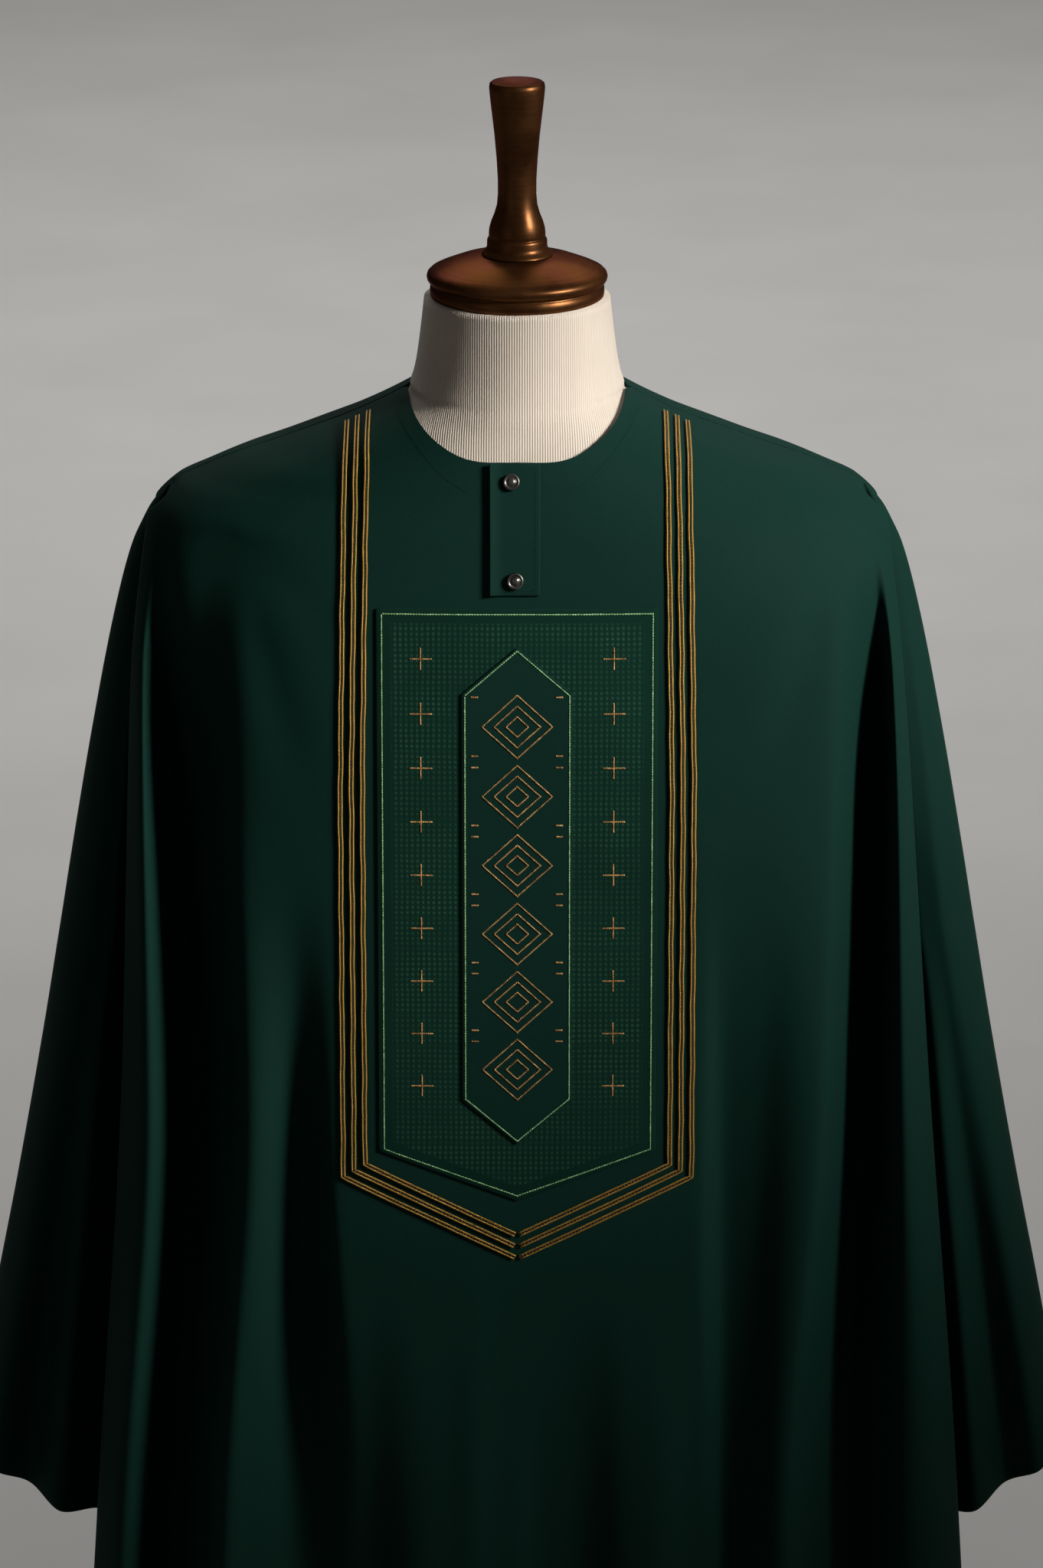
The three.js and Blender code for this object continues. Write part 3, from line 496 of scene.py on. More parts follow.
class Paint:
    """A material with one Principled shader, and short ways to add its nodes."""

    def __init__(self, name, color, roughness, **sockets):
        self.material = bpy.data.materials.new(name)
        self.material.use_nodes = True
        self.tree = self.material.node_tree
        self.shader = next(n for n in self.tree.nodes if n.type == "BSDF_PRINCIPLED")
        self.put(self.shader.inputs["Base Color"], (*color, 1))
        self.put(self.shader.inputs["Roughness"], roughness)
        for label, value in sockets.items():
            self.put(self.shader.inputs[label.replace("_", " ")], value)
        self.material.diffuse_color = (*color, 1)

    def put(self, socket, value):
        if isinstance(value, Value):
            value = value.socket
        if isinstance(value, bpy.types.NodeSocket):
            self.tree.links.new(value, socket)
        else:
            socket.default_value = value

    def node(self, kind, settings=None, sockets=None):
        node = self.tree.nodes.new(kind)
        for label, value in (settings or {}).items():
            setattr(node, label, value)
        for label, value in (sockets or {}).items():
            self.put(node.inputs[label], value)
        return node

    def uv(self):
        """The piece's own UV map, as (across, along) in metres."""
        node = self.node("ShaderNodeUVMap", {"uv_map": "UVMap"})
        parts = self.node("ShaderNodeSeparateXYZ", None, {0: node.outputs[0]})
        return Value(self, parts.outputs[0]), Value(self, parts.outputs[1])

    def place(self):
        return self.node("ShaderNodeTexCoord").outputs["Object"]

    def join(self, x, y, z=0.0):
        return self.node("ShaderNodeCombineXYZ", None, {0: x, 1: y, 2: z}).outputs[0]

    def noise(self, scale, vector=None, detail=3.0, roughness=0.5):
        sockets = {"Scale": scale, "Detail": detail, "Roughness": roughness}
        sockets["Vector"] = self.place() if vector is None else vector
        return Value(self, self.node("ShaderNodeTexNoise", None, sockets).outputs["Fac"])

    def blend(self, factor, first, second):
        node = self.node("ShaderNodeMix", {"data_type": "RGBA"}, {0: factor})
        for index, color in ((6, first), (7, second)):
            self.put(node.inputs[index], (*color, 1) if isinstance(color, tuple) else color)
        return node.outputs[2]

    def span(self, value, low, high, to_low=0.0, to_high=1.0):
        """A value's share between two bounds, held at the ends."""
        sockets = {0: value, 1: low, 2: high, 3: to_low, 4: to_high}
        return Value(self, self.node("ShaderNodeMapRange", None, sockets).outputs[0])

    def color(self, value):
        self.put(self.shader.inputs["Base Color"], value)

    def roughness(self, value):
        self.put(self.shader.inputs["Roughness"], value)

    def bump(self, height, distance, strength):
        """Relief: height from 0 to 1, as deep as distance in millimetres."""
        sockets = {"Height": height, "Distance": distance * MM, "Strength": strength}
        node = self.node("ShaderNodeBump", None, sockets)
        self.put(self.shader.inputs["Normal"], node.outputs[0])


def wave(value, pitch):
    """A wave from 0 to 1 along a value in metres, one crest every pitch millimetres."""
    return (value * (2 * math.pi / (pitch * MM))).sine() * 0.5 + 0.5


def robe_cloth():
    """Fine twill suiting, dark bottle green, with a faint sheen."""
    paint = Paint(
        "robe_cloth", (0.0048, 0.0275, 0.0205), 0.72, Sheen_Weight=0.02, Sheen_Roughness=0.4,
        Sheen_Tint=(0.2, 0.7, 0.5, 1), Specular_IOR_Level=0.05,
    )
    across, along = paint.uv()
    twill = wave(across + along, 0.9)
    threads = paint.noise(1, paint.join(across * 2600, along * 260))
    weft = paint.noise(1, paint.join(across * 240, along * 2400))
    cloudy = paint.noise(7, detail=4.0)
    slub = paint.span(threads * 0.5 + weft * 0.5, 0.35, 0.68)
    base = paint.blend(paint.span(cloudy, 0.3, 0.7), (0.0042, 0.0245, 0.0184), (0.0056, 0.0305, 0.0230))
    lighter = paint.blend(slub, base, (0.0068, 0.0355, 0.0268))
    paint.color(paint.blend(twill * 0.25, lighter, (0.0032, 0.0185, 0.0140)))
    paint.roughness(paint.span(threads, 0.3, 0.7, 0.66, 0.8))
    paint.bump(twill * 0.5 + slub * 0.5, 0.12, 0.5)
    return paint.material


def panel_cloth():
    """A woven check inside a plain margin: paler knots in upright columns, in uneven pairs of rows."""
    paint = Paint(
        "panel_cloth", (0.006, 0.034, 0.021), 0.8, Sheen_Weight=0.02, Sheen_Roughness=0.5,
        Sheen_Tint=(0.3, 0.65, 0.45, 1), Specular_IOR_Level=0.05,
    )
    across, along = paint.uv()
    half, point, side = (CHEST_PANEL[key] * MM for key in ("half", "point", "side"))
    rise = (side - point) / half
    foot = (along - (across.absolute() * rise + point)) * math.cos(math.atan(rise))
    inside = (across.absolute() * -1 + half).least(along * -1 + CHEST_PANEL["top"] * MM).least(foot)
    inside = paint.span(inside, 0.0092, 0.0102)
    pitch = 3.7 * MM
    sway = (paint.noise(60, detail=1.0) - 0.5) * 0.0011
    pairs = paint.span(((along / (pitch * 6.3)).fraction() - 0.5).absolute(), 0.40, 0.47, 1.0, 0.35)
    column = paint.span((((across + sway) / pitch).fraction() - 0.5).absolute(), 0.16, 0.30, 1.0, 0.0)
    row = paint.span((((along + sway) / pitch).fraction() - 0.5).absolute(), 0.15, 0.30, 1.0, 0.0)
    knot = column * row * inside * pairs
    bars = (column * 0.8).most(row * 0.35) * inside
    fine = wave(across, 0.6) * wave(along, 0.6)
    worn = paint.span(paint.noise(38, detail=4.0), 0.3, 0.72, 0.25, 1.0)
    faded = paint.span(paint.noise(16, detail=3.0), 0.35, 0.65, 0.45, 1.0)
    uneven = paint.span(paint.noise(9), 0.3, 0.7)
    ground = paint.blend(uneven, (0.0040, 0.0265, 0.0180), (0.0052, 0.0320, 0.0215))
    barred = paint.blend(bars * faded * 0.6, ground, (0.0095, 0.0490, 0.0300))
    paint.color(paint.blend(knot * worn * faded, barred, (0.030, 0.096, 0.056)))
    paint.bump(knot * 0.6 + bars * 0.25 + fine * 0.15, 0.3, 0.7)
    return paint.material


def thread(name, dark, light, pitch, roughness, metallic):
    """A twisted thread: slanting plies along the UV map's second direction, with painted shade between
    them.
    """
    paint = Paint(name, light, roughness, Metallic=metallic, Sheen_Weight=0.03)
    across, along = paint.uv()
    ply = wave(along + across * 0.8, pitch)
    uneven = paint.noise(160, detail=2.0)
    # partly random tone, partly painted shade: the colour darkens in the valleys of the ply wave, where
    # the bump is low
    paint.color(paint.blend(paint.span(ply * 0.7 + uneven * 0.5, 0.15, 0.9), dark, light))
    paint.bump(ply, 0.25, 0.8)
    return paint.material


def stitch_thread(name, dark, light, sheen=0.1):
    """A short stitch, too small for plies: only its colour varies from one to the next."""
    paint = Paint(name, light, 0.6, Sheen_Weight=sheen, Specular_IOR_Level=0.05 if sheen == 0 else 0.3)
    paint.color(paint.blend(paint.span(paint.noise(310, detail=1.0), 0.3, 0.7), dark, light))
    paint.roughness(paint.span(paint.noise(600, detail=1.0), 0.3, 0.7, 0.5, 0.7))
    return paint.material


def form_jersey():
    """Cream jersey with fine upright ribs, whose number stays the same all round, with painted shade in
    the grooves between them.
    """
    paint = Paint("form_jersey", (0.69, 0.60, 0.51), 0.85, Sheen_Weight=0.25, Sheen_Roughness=0.5)
    across, along = paint.uv()
    rib = wave(across, 1.75)
    broad = paint.noise(1, paint.join(across * 90, along * 3))
    knit = wave(along, 1.1)
    soft = paint.noise(14, detail=3.0)
    cream = paint.blend(paint.span(soft, 0.3, 0.7), (0.64, 0.56, 0.465), (0.73, 0.645, 0.55))
    # painted shade: the base colour darkens in the grooves between the ribs, where the bump is low
    painted_rib_shade = paint.span(rib, 0.0, 0.45, 1.0, 0.0) * paint.span(broad, 0.3, 0.65, 0.10, 0.42)
    paint.color(paint.blend(painted_rib_shade, cream, (0.40, 0.33, 0.27)))
    paint.bump(rib * 0.85 + knit * rib * 0.15, 0.35, 0.7)
    return paint.material


def turned_metal(name, dark, light, roughness, metallic, ring_pitch):
    """Metal finished on a lathe: faint rings, and a little tarnish."""
    tint = (0.36, 0.245, 0.15, 1)
    paint = Paint(name, light, roughness, Metallic=metallic, Specular_Tint=tint)
    place = paint.node("ShaderNodeSeparateXYZ", None, {0: paint.place()})
    height = Value(paint, place.outputs[2])
    rings = paint.noise(1, paint.join(0.0, 0.0, height * (1000 / ring_pitch)), detail=2.0)
    tarnish = paint.noise(26, detail=5.0, roughness=0.6)
    paint.color(paint.blend(paint.span(tarnish * 0.75 + rings * 0.25, 0.3, 0.68), dark, light))
    paint.roughness(paint.span(tarnish, 0.3, 0.75, roughness - 0.07, roughness + 0.12))
    paint.bump(rings, 0.05, 0.35)
    return paint.material


def button_metal():
    """Gunmetal, brighter where it is rubbed."""
    paint = Paint("button_metal", (0.16, 0.155, 0.145), 0.3, Metallic=0.9)
    rubbed = paint.span(paint.noise(240, detail=3.0), 0.35, 0.7)
    paint.color(paint.blend(rubbed, (0.085, 0.083, 0.08), (0.27, 0.26, 0.24)))
    paint.roughness(paint.span(rubbed, 0.0, 1.0, 0.42, 0.24))
    return paint.material


CLOTH_GREEN = robe_cloth()
PANEL_GREEN = panel_cloth()
GOLD = thread("gold_thread", (0.15, 0.072, 0.010), (0.66, 0.38, 0.062), 1.3, 0.42, 0.3)
PALE_STITCH = stitch_thread("pale_green_stitch", (0.14, 0.32, 0.12), (0.34, 0.60, 0.30))
DARK_STITCH = stitch_thread("dark_green_stitch", (0.0034, 0.018, 0.0135), (0.0062, 0.028, 0.021), 0.0)
JERSEY = form_jersey()
BRONZE = turned_metal("cap_bronze", (0.060, 0.023, 0.0085), (0.175, 0.074, 0.027), 0.37, 0.85, 1.4)
STAND = turned_metal("stand_metal", (0.016, 0.013, 0.011), (0.04, 0.034, 0.028), 0.42, 0.7, 2.5)
GUNMETAL = button_metal()


# ---- The robe ----
def neckline_point(panel, angle, down):
    """A place on the panel a little below its top edge, as (distance from the middle, height)."""
    top = panel.top_edge(angle)
    inward = Vector((top.x, top.y, 0)).normalized()
    x = top.x + inward.x * down
    y = abs(top.y) + abs(inward.y) * down
    return x, panel.rest_height(abs(x), y)


def robe_panels():
    for name, panel, columns, rows in (("front", FRONT, 150, 104), ("back", BACK, 120, 92)):
        grid = panel_grid(panel, columns, rows)
        piece = cloth_piece(name + "_cloth", grid, CLOTH_GREEN, "robe_cloth")
        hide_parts(name)


sleeve_apart, sleeve_outer, sleeve_depth = curves_by_height(SLEEVE_OUTLINE)
sleeve_places = [i / (len(SLEEVE_FOLDS) - 1) for i in range(len(SLEEVE_FOLDS))]
sleeve_across, sleeve_stand, sleeve_fold = (
    smooth_curve(sleeve_places, [fold[column] for fold in SLEEVE_FOLDS]) for column in (1, 2, 3)
)
SLEEVE_ROUND = 0.26  # metres round the sleeve on its UV map


def sleeve_point(place, z):
    """A point of the sleeve's section: 0 at its front seam, 0.5 outside, 1 at its back seam."""
    across = sleeve_across(place)
    side = -1 if place < 0.5 else 1
    gape = side_gape(z) * (1 - across) ** 2 * side
    fold = sleeve_fold(place) * growth(z, SLEEVE_FOLD_START, SLEEVE_FOLD_FULL)
    x = mix(side_out(z) + sleeve_apart(z), sleeve_outer(z), across)
    seam = side * SEAM / 2 if min(place, 1 - place) < 1e-6 else 0
    ripple = 1.6 * math.sin(place * 34 + z * 0.006) * growth(z, 1300, 800)
    ripple *= math.sin(math.pi * place) ** 2
    return Vector((x, sleeve_depth(z) * sleeve_stand(place) + gape + fold + seam + ripple, z))


def sleeve_column(share, rows):
    """Points down the sleeve from the armhole to the hem, and the hem's height."""
    from_under = min(share, 1 - share)
    top = mix(SLEEVE_TOP, UNDERARM_HEIGHT, (1 - 2 * from_under) ** (1 / ARMHOLE_EASE))
    hem = SLEEVE_HEM["height"]
    for _ in range(6):
        out = sleeve_point(share, hem).x - SLEEVE_HEM["at"]
        hem = SLEEVE_HEM["height"] + SLEEVE_HEM["slope"] * out
    for row in range(rows + 1):
        z = mix(top, hem, (row / rows) ** 1.35)
        fall = clamp((SLEEVE_TOP - z) / (SLEEVE_TOP - UNDERARM_HEIGHT))
        armhole = 0.5 * (1 - fall**ARMHOLE_EASE)
        place = 0.5 if armhole > 0.4999 else 0.5 * max(from_under - armhole, 0) / (0.5 - armhole)
        yield sleeve_point(place if share <= 0.5 else 1 - place, z)


def sleeves():
    columns, rows = 84, 60
    for name, hand in (("sleeve_left", 1), ("sleeve_right", -1)):
        grid = []
        for i in range(columns + 1):
            points = sleeve_column(i / columns, rows)
            grid.append([Vector((hand * p.x, p.y, p.z)) for p in points])

        def outward(centre, hand=hand):
            middle = mix(side_out(centre.z / MM), sleeve_outer(centre.z / MM), 0.5) * MM
            return Vector((centre.x - hand * middle, centre.y, 0))

        def texture(i, j, grid=grid):
            return (i / columns * SLEEVE_ROUND, grid[i][j].z * MM)

        cloth = name + "_cloth"
        piece = cloth_piece(cloth, grid, CLOTH_GREEN, "robe_cloth", outward=outward, texture=texture)
        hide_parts(name)


# ---- What lies on the front ----
CURL_WIDTH = 10  # how far in from its raised edge a piece lies flat again


def lies_on_front(
    name, left, right, top, bottom, columns, rows, lift, thickness, material, slot, curl=0.0
):
    """A flat piece laid on the front, from top(x) to bottom(x) at each x; curl lifts its left edge."""
    grid = []
    for i in range(columns + 1):
        x = mix(left, right, i / columns)
        column = []
        for j in range(rows + 1):
            z = mix(top(x), bottom(x), j / rows)
            proud = curl * clamp(1 - (x - left) / CURL_WIDTH) ** 2
            column.append(FRONT.raised(x, z, lift + thickness + proud))
        grid.append(column)
    piece = cloth_piece(name, grid, material, slot, thickness, levels=0)
    soften_edges(piece, thickness * 0.35)
    return piece


def pointed(panel, middle, side):
    """A panel's pointed edge, as its height at each x."""
    return lambda x: mix(panel[middle], panel[side], abs(x) / panel["half"])


INNER_LIFT = LIFT + CHEST_PANEL["thickness"] + LIFT


def neck_edge(x):
    y = FRONT.neck_depth * (1 - abs(x / NECK_HALF_WIDTH) ** FRONT.squareness) ** (1 / FRONT.squareness)
    return FRONT.rest_height(abs(x), y) - 1


def applied_pieces():
    half = CHEST_PANEL["half"]
    piece = lies_on_front(
        "chest_panel_cloth", -half, half,
        lambda x: CHEST_PANEL["top"], pointed(CHEST_PANEL, "point", "side"),
        48, 84, LIFT, CHEST_PANEL["thickness"], PANEL_GREEN, "panel_cloth",
    )
    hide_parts("chest_panel")
    half = INNER_PANEL["half"]
    piece = lies_on_front(
        "inner_panel_cloth", -half, half,
        pointed(INNER_PANEL, "top", "top_side"), pointed(INNER_PANEL, "point", "side"),
        20, 72, INNER_LIFT, INNER_PANEL["thickness"], CLOTH_GREEN, "robe_cloth",
    )
    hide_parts("inner_panel")
    piece = lies_on_front(
        "placket_cloth", PLACKET["left"], PLACKET["right"], neck_edge, lambda x: PLACKET["bottom"],
        20, 30, LIFT, PLACKET["thickness"], CLOTH_GREEN, "robe_cloth", 2.2,
    )
    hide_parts("placket")


def spread_along(points, pitch, lift):
    """Places every pitch along a line of (x, z) points on the front: position, direction, normal."""
    raised = [(FRONT.raised(x, z, lift), FRONT.normal(x, z)) for x, z in points]
    found, need = [], pitch / 2
    for (a, normal_a), (b, normal_b) in zip(raised, raised[1:]):
        length = (b - a).length
        while need <= length:
            share = need / length
            normal = normal_a.lerp(normal_b, share).normalized()
            found.append((a.lerp(b, share), (b - a).normalized(), normal))
            need += pitch
        need -= length
    return found


def fine_line(points, step=4):
    """The same line of (x, z) points with more between them, so that it follows the cloth."""
    dense = []
    for (x0, z0), (x1, z1) in zip(points, points[1:]):
        count = max(int(math.hypot(x1 - x0, z1 - z0) / step), 1)
        dense += [(mix(x0, x1, i / count), mix(z0, z1, i / count)) for i in range(count)]
    return dense + [points[-1]]


# Stitches are: pitch along the line, length, width, height.
OUTLINE_STITCH = (1.9, 2.6, 1.25, 0.8)
LOZENGE_STITCH = (1.5, 2.2, 1.3, 1.1)
TICK_STITCH = (1.2, 2.0, 1.6, 1.3)
CROSSLET_STITCH = (1.4, 2.1, 1.4, 1.0)
COUCHING_STITCH = (2.5, 1.7, 1.3, 0.8)
PLACKET_STITCH = (2.6, 1.9, 0.5, 0.35)
NECK_STITCH = (2.8, 2.0, 0.5, 0.35)
HEM_STITCH = (3.2, 2.2, 0.5, 0.35)
LOZENGES = {"count": 6, "gap": 49, "half": 24, "tall": 22, "rings": (1.0, 0.66, 0.32)}
TICKS = {"at": 29, "half": 2.6, "apart": 4}
CROSSLETS = {"count": 9, "gap": 38, "drop": 34, "at": 66, "half": 7.5}


def add_stitch(bm, position, along, normal, length, width, height):
    """One stitch: a small flattened bead along the line."""
    side = normal.cross(along).normalized()
    turn = Matrix((along * length, side * width, normal * height)).transposed().to_4x4()
    place = Matrix.Translation(position * MM) @ turn
    bmesh.ops.create_icosphere(bm, subdivisions=1, radius=0.5 * MM, matrix=place)


def stitch_line(bm, points, stitch, lift):
    pitch, *size = stitch
    for position, along, normal in spread_along(fine_line(points), pitch, lift):
        add_stitch(bm, position, along, normal, *size)


def panel_line(panel, top, inset, top_point=None):
    """A panel's outline a little inside its edge, as (x, z) points."""
    edge = panel["half"] - inset
    upper = [(-edge, top - inset), (edge, top - inset)]
    if top_point is not None:
        upper = [(-edge, top - inset * 0.4), (0, top_point - inset), (edge, top - inset * 0.4)]
    foot = panel["side"] + inset * 0.4
    return upper + [(edge, foot), (0, panel["point"] + inset), (-edge, foot), upper[0]]


def embroidery():
    """The panels' pale outlines, the gold lozenges and ticks, and the gold crosslets beside them."""
    chest = CHEST_PANEL
    inner = INNER_PANEL
    chest_lift = LIFT + chest["thickness"] + 0.1
    inner_lift = INNER_LIFT + inner["thickness"] + 0.1
    bm = bmesh.new()
    stitch_line(bm, panel_line(chest, chest["top"], 3.6), OUTLINE_STITCH, chest_lift)
    outline = panel_line(inner, inner["top_side"], 2.2, inner["top"])
    stitch_line(bm, outline, OUTLINE_STITCH, inner_lift)
    new_piece("panel_outline_stitches", bm, PALE_STITCH, "panel_cloth")

    bm = bmesh.new()
    gap, half = LOZENGES["gap"], TICKS["half"]
    first = (inner["top_side"] + inner["side"]) / 2 + gap * (LOZENGES["count"] - 1) / 2
    for index in range(LOZENGES["count"]):
        centre = first - gap * index
        for ring in LOZENGES["rings"]:
            wide, tall = LOZENGES["half"] * ring, LOZENGES["tall"] * ring
            top = (0, centre + tall)
            lozenge = [top, (wide, centre), (0, centre - tall), (-wide, centre), top]
            stitch_line(bm, lozenge, LOZENGE_STITCH, inner_lift)
        for x in (-TICKS["at"], TICKS["at"]):
            for z in (centre + gap / 2 - TICKS["apart"], centre + gap / 2 + TICKS["apart"]):
                if z < inner["top_side"] + 6:
                    stitch_line(bm, [(x - half, z), (x + half, z)], TICK_STITCH, inner_lift)
    new_piece("gold_lozenges", bm, GOLD_STITCH, "gold_thread")

    bm = bmesh.new()
    half = CROSSLETS["half"]
    for x in (-CROSSLETS["at"], CROSSLETS["at"]):
        for index in range(CROSSLETS["count"]):
            z = chest["top"] - CROSSLETS["drop"] - index * CROSSLETS["gap"]
            for line in ([(x - half, z), (x + half, z)], [(x, z - half), (x, z + half)]):
                stitch_line(bm, line, CROSSLET_STITCH, chest_lift)
    new_piece("gold_crosslets", bm, GOLD_STITCH, "gold_thread")


def plain_stitching():
    """The dark top-stitching: the placket's edges, the neck's facing and the front's hem."""
    bm = bmesh.new()
    lift = LIFT + PLACKET["thickness"] + 0.05
    left, right, foot = PLACKET["left"] + 4.5, PLACKET["right"] - 3.5, PLACKET["bottom"] + 3
    for x in (left, right):
        stitch_line(bm, [(x, neck_edge(x) - 3), (x, foot)], PLACKET_STITCH, lift)
    stitch_line(bm, [(left, foot), (right, foot)], PLACKET_STITCH, lift)
    for hand in (-1, 1):
        line = [neckline_point(FRONT, hand * angle, 9) for angle in range(14, 86, 4)]
        stitch_line(bm, line, NECK_STITCH, 0.05)
    hem = [(x, HEM_HEIGHT + 22) for x in range(-330, 331, 6)]
    stitch_line(bm, hem, HEM_STITCH, 0.05)
    new_piece("top_stitching", bm, DARK_STITCH, "robe_cloth")


def cord_route(index):
    """A couched cord's middle line on one side, as (distance, height) points."""
    route = CORD_ROUTE
    slope = math.radians(route["slope"])
    offset = index * CORD["pitch"]
    start = route["shoulder"] + offset
    mitre = (1 - math.sin(slope)) / math.cos(slope)
    corner = (route["waist"] + offset, route["turn"] - offset * mitre)
    end = (route["meet"], corner[1] - (corner[0] - route["meet"]) * math.tan(slope))
    ridge = solve_falling(half_width, start, TIP_HEIGHT, NECK_HEIGHT) - 1.5
    down = []
    for i in range(121):
        fall = (i / 120) ** 1.7
        down.append((mix(start, corner[0], min(fall * 2.2, 1)), mix(ridge, corner[1], fall)))
    inwards = [(mix(corner[0], end[0], i / 40), mix(corner[1], end[1], i / 40)) for i in range(1, 41)]
    return down + inwards


def direction_at(points, index):
    """The line's direction at one of its points."""
    return (points[min(index + 1, len(points) - 1)] - points[max(index - 1, 0)]).normalized()


def rail(points, normals, radius, sides=8):
    """A round cord along points, as a bmesh, with the UV map's second direction along it."""
    lengths = [0.0]
    for a, b in zip(points, points[1:]):
        lengths.append(lengths[-1] + (b - a).length)

    def place(i, j):
        side = normals[j].cross(direction_at(points, j)).normalized()
        angle = 2 * math.pi * i / sides
        return points[j] + (side * math.cos(angle) + normals[j] * math.sin(angle)) * radius

    def texture(i, j):
        return (i / sides * radius * 2 * math.pi * MM, lengths[j] * MM)

    bm = mapped_grid(sides, len(points) - 1, place, texture)
    close_tube(bm)
    return bm


def gold_cords():
    """Each cord is two rails with dark stitches between them, laid a little unevenly."""
    radius = 0.6
    apart = CORD["width"] / 2 - radius
    for side, hand in (("left", 1), ("right", -1)):
        for index in range(CORD["count"]):
            seed = index * 2.3 + (0.9 if hand > 0 else 0)
            route = [
                (hand * x + 0.18 * math.sin(z * 0.093 + seed) + 0.12 * math.sin(z * 0.21 + seed * 2), z)
                for x, z in cord_route(index)
            ]
            normals = [FRONT.normal(x, z) for x, z in route]
            middle = [FRONT.raised(x, z, CORD_LIFT + radius) for x, z in route]
            name = f"cord_{side}_{index + 1}"
            whole = bmesh.new()
            for way in (-1, 1):
                line = []
                for j, (point, normal) in enumerate(zip(middle, normals)):
                    across = normal.cross(direction_at(middle, j)).normalized()
                    line.append(point + across * apart * way)
                part = rail(line, normals, radius)
                mesh = bpy.data.meshes.new("rail")
                part.to_mesh(mesh)
                part.free()
                whole.from_mesh(mesh)
                bpy.data.meshes.remove(mesh)
            piece = new_piece(name + "_rails", whole, GOLD, "gold_thread")
            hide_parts(name)
            bm = bmesh.new()
            pitch, *size = COUCHING_STITCH
            for position, along, normal in spread_along(route, pitch, CORD_LIFT + radius * 1.1):
                add_stitch(bm, position, along, normal, *size)
            new_piece(name + "_couching", bm, COUCHING, "gold_thread")


GOLD_STITCH = stitch_thread("gold_stitch", (0.20, 0.10, 0.03), (0.58, 0.34, 0.12))
COUCHING = stitch_thread("couching_stitch", (0.05, 0.03, 0.012), (0.13, 0.075, 0.025))


def turned_bmesh(profile, steps):
    """A solid of revolution round Z from a profile of (radius, height) points."""
    bm = bmesh.new()
    verts = [bm.verts.new((radius * MM, 0, height * MM)) for radius, height in profile]
    edges = [bm.edges.new(pair) for pair in zip(verts, verts[1:])]
    bmesh.ops.spin(
        bm, geom=verts + edges, cent=(0, 0, 0), axis=(0, 0, 1), dvec=(0, 0, 0),
        angle=2 * math.pi, steps=steps, use_merge=True, use_duplicate=False,
    )
    bmesh.ops.remove_doubles(bm, verts=bm.verts, dist=1e-6)
    bmesh.ops.recalc_face_normals(bm, faces=bm.faces)
    return bm


def round_profile(points, steps):
    """A profile drawn through its points as a smooth line, keeping its two ends."""
    travel = [0.0]
    for (r0, z0), (r1, z1) in zip(points, points[1:]):
        travel.append(travel[-1] + math.hypot(r1 - r0, z1 - z0))
    radius = smooth_curve(travel, [p[0] for p in points])
    height = smooth_curve(travel, [p[1] for p in points])
    total = travel[-1]
    count = (len(points) - 1) * steps
    return [(radius(total * i / count), height(total * i / count)) for i in range(count + 1)]


def buttons():
    """Small ringed metal buttons: a rounded rim, a groove and a domed middle."""
    shape = (
        (0, 0.1), (4.2, 0.1), (5.2, 0.5), (5.8, 1.3), (5.75, 2.1), (5.3, 2.8), (4.7, 3.05),
        (4.15, 2.8), (3.8, 2.35), (3.3, 2.3), (2.95, 2.75), (2.3, 3.4), (1.3, 3.85), (0, 4.0),
    )
    for name, (x, z) in BUTTONS.items():
        bm = turned_bmesh(round_profile(shape, 3), 40)
        normal = FRONT.normal(x, z)
        seat = FRONT.raised(x, z, LIFT + PLACKET["thickness"] + SEAM) * MM
        turn = Vector((0, 0, 1)).rotation_difference(normal).to_matrix().to_4x4()
        bmesh.ops.transform(bm, matrix=Matrix.Translation(seat) @ turn, verts=bm.verts)
        piece = new_piece(name + "_metal", bm, GUNMETAL, "button_metal")
        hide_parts(name)


# ---- The dress form and its stand ----
def dress_form():
    sides = 128
    form_width, form_depth = curves_by_height(FORM_SECTIONS)
    heights = []
    for (z0, *_), (z1, *_) in zip(FORM_SECTIONS, FORM_SECTIONS[1:]):
        count = 3 if z0 - z1 > 6 else 2
        heights += [mix(z0, z1, i / count) for i in range(count)]
    heights.append(FORM_SECTIONS[-1][0])

    def place(i, j):
        angle = 2 * math.pi * i / sides
        z = heights[j]
        return Vector((-form_width(z) * math.sin(angle), form_depth(z) * math.cos(angle), z))

    def texture(i, j):
        """Metres round from the middle of the front, so that the ribs stay upright over the flare."""
        ring = [place(k, j) for k in range(sides + 1)]
        travel = [0.0]
        for a, b in zip(ring, ring[1:]):
            travel.append(travel[-1] + (b - a).length)
        return ((travel[i] - travel[sides // 2]) * MM, heights[j] * MM)

    coordinates = [[texture(i, j) for j in range(len(heights))] for i in range(sides + 1)]
    bm = mapped_grid(sides, len(heights) - 1, place, lambda i, j: coordinates[i][j])
    close_tube(bm)
    piece = new_piece("form_jersey", bm, JERSEY, "form_jersey")
    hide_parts("form")


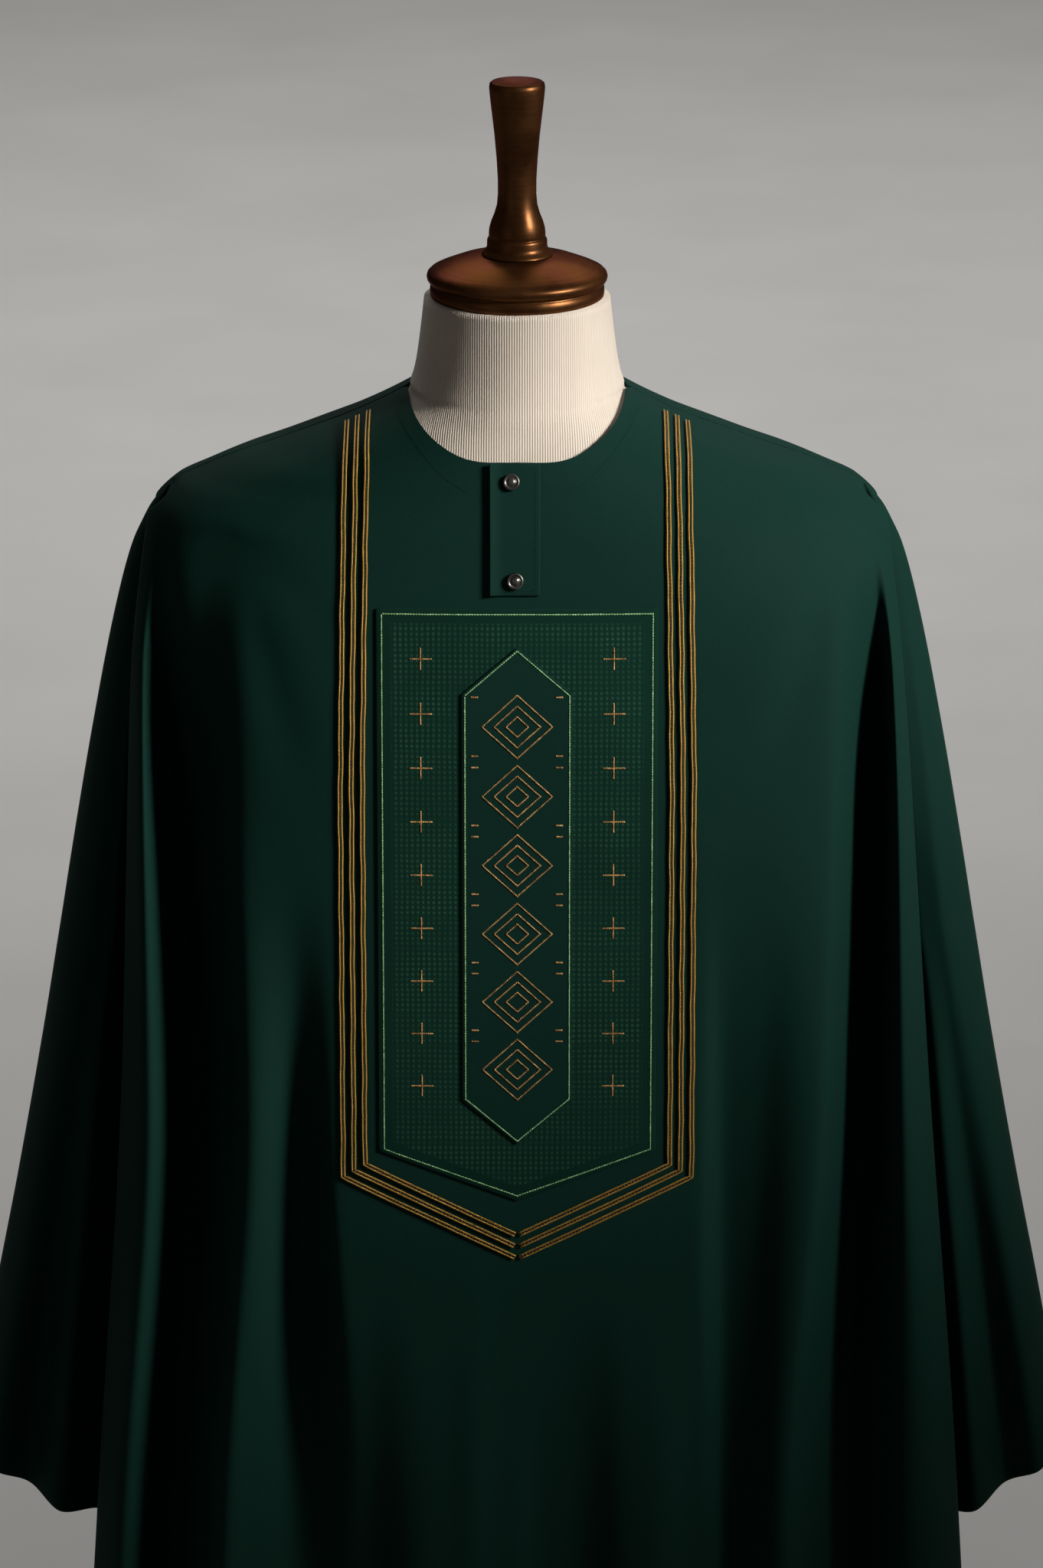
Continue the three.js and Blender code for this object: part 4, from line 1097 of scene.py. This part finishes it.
def metal_parts():
    cap = (
        (0, 1548.3), (58.6, 1548.3), (59.8, 1549), (60.2, 1551.5), (60, 1555.2), (58.8, 1556.4),
        (58.9, 1557.2), (60.6, 1558.4), (62, 1560.4), (62.4, 1562.4), (61.8, 1564.4), (60, 1566.2),
        (56.6, 1567.9), (50, 1570.6), (42, 1573.7), (36, 1575.4), (31, 1576.4), (27, 1577),
        (0, 1577),
    )
    handle = (
        (0, 1577.3), (24.4, 1577.3), (24.7, 1577.8), (24.1, 1578.8), (22.9, 1580), (21.7, 1581.3),
        (21, 1582.8), (20.8, 1584), (20.7, 1587.4), (20.3, 1588.8), (19.7, 1589.3), (19.3, 1589.8),
        (19.55, 1590.6), (19.5, 1593), (19.1, 1596.4), (17.9, 1600.6), (15.6, 1606.4),
        (13.9, 1612.4), (13.25, 1620), (13.3, 1630), (14.1, 1644), (15.6, 1661), (17.1, 1674),
        (18.3, 1684), (19, 1691), (19.2, 1694), (18.8, 1696.6), (17.4, 1697.9), (15.4, 1697.6),
        (8, 1696.3), (0, 1695.9),
    )
    pole = ((0, 46.3), (12.2, 46.3), (12.5, 46.8), (12.5, 747.2), (12.2, 747.7), (0, 747.7))
    base = (
        (0, 0), (200.5, 0), (202.4, 1), (203, 3), (203, 8), (202, 10.6), (199, 12), (120, 13.6),
        (60, 15.2), (42, 17.6), (32, 22), (26.5, 28), (24.4, 34), (24, 43.5), (23.4, 45.4),
        (22, 46), (0, 46),
    )
    for node, name, profile, material, slot in (
        ("neck_cap", "neck_cap_bronze", cap, BRONZE, "cap_bronze"),
        ("cap_handle", "cap_handle_bronze", handle, BRONZE, "cap_bronze"),
        ("pole", "pole_metal", pole, STAND, "stand_metal"),
        ("base", "base_metal", base, STAND, "stand_metal"),
    ):
        piece = new_piece(name, turned_bmesh(profile, 96), material, slot)
        soften_edges(piece, 0.5, 50)
        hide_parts(node)


# ---- The room ----
def room():
    """A plain pale floor."""
    paint = Paint("room_pale", (0.62, 0.61, 0.59), 0.9)
    uneven = paint.span(paint.noise(2.5), 0.3, 0.7)
    paint.color(paint.blend(uneven, (0.60, 0.59, 0.57), (0.64, 0.63, 0.61)))
    bm = bmesh.new()
    bmesh.ops.create_grid(bm, x_segments=2, y_segments=2, size=14)
    floor = add_object("floor", to_mesh(bm, "floor"))
    floor.data.materials.append(paint.material)
    floor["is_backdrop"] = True


def area_light(name, place, aim, size, power, color, spread=180):
    light = bpy.data.lights.new(name, "AREA")
    light.shape = "DISK"
    light.size = size
    light.spread = math.radians(spread)
    light.energy = power
    light.color = color
    lamp = add_object(name, light)
    lamp.location = place
    lamp.rotation_euler = (Vector(aim) - Vector(place)).to_track_quat("-Z", "Y").to_euler()


def lights():
    """Each light is: name, place, aim, size, power, colour and, for the key, its spread."""
    area_light("key", (2.12, -1.18, 2.52), (0.08, -0.1, 1.39), 0.8, 3.2, (1.0, 0.97, 0.93), 26)
    area_light("fill", (-2.6, -3.2, 1.6), (0, 0, 1.2), 2.4, 2.1, (1.0, 0.94, 0.86))
    area_light("back", (-1.6, 3.0, 3.4), (0, 0.2, 1.2), 2.2, 0.8, (1.0, 1.0, 1.0))
    area_light("floor_wash", (0, 5.5, 5.5), (0, 6.5, 0), 6, 260, (1.0, 1.0, 1.0))
    world = bpy.data.worlds.new("soft_room")
    world.use_nodes = True
    background = world.node_tree.nodes["Background"]
    background.inputs[0].default_value = (1.0, 0.97, 0.93, 1)
    background.inputs[1].default_value = 0.05
    bpy.context.scene.world = world


def camera():
    """Looks down on the chest from a little above, with a long lens."""
    image_height, focal_pixels = 2048, 8320
    aim = Vector((0.003, 0, 1.194))
    distance, pitch = 4.5, math.radians(18)
    lens = bpy.data.cameras.new("camera")
    lens.sensor_fit = "AUTO"
    lens.sensor_width = 36
    lens.lens = focal_pixels / image_height * lens.sensor_width
    lens.clip_end = 60
    eye = add_object("camera", lens)
    eye.location = aim + Vector((0, -math.cos(pitch), math.sin(pitch))) * distance
    eye.rotation_euler = (math.pi / 2 - pitch, 0, 0)
    bpy.context.scene.camera = eye


robe_panels()
sleeves()
applied_pieces()
embroidery()
plain_stitching()
gold_cords()
buttons()
dress_form()
metal_parts()
room()
lights()
camera()
bpy.context.scene.view_settings.view_transform = "Standard"

corners = {"cad": cad_box, "visual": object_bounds()}
{name: [list(corner) for corner in box] for name, box in corners.items()}
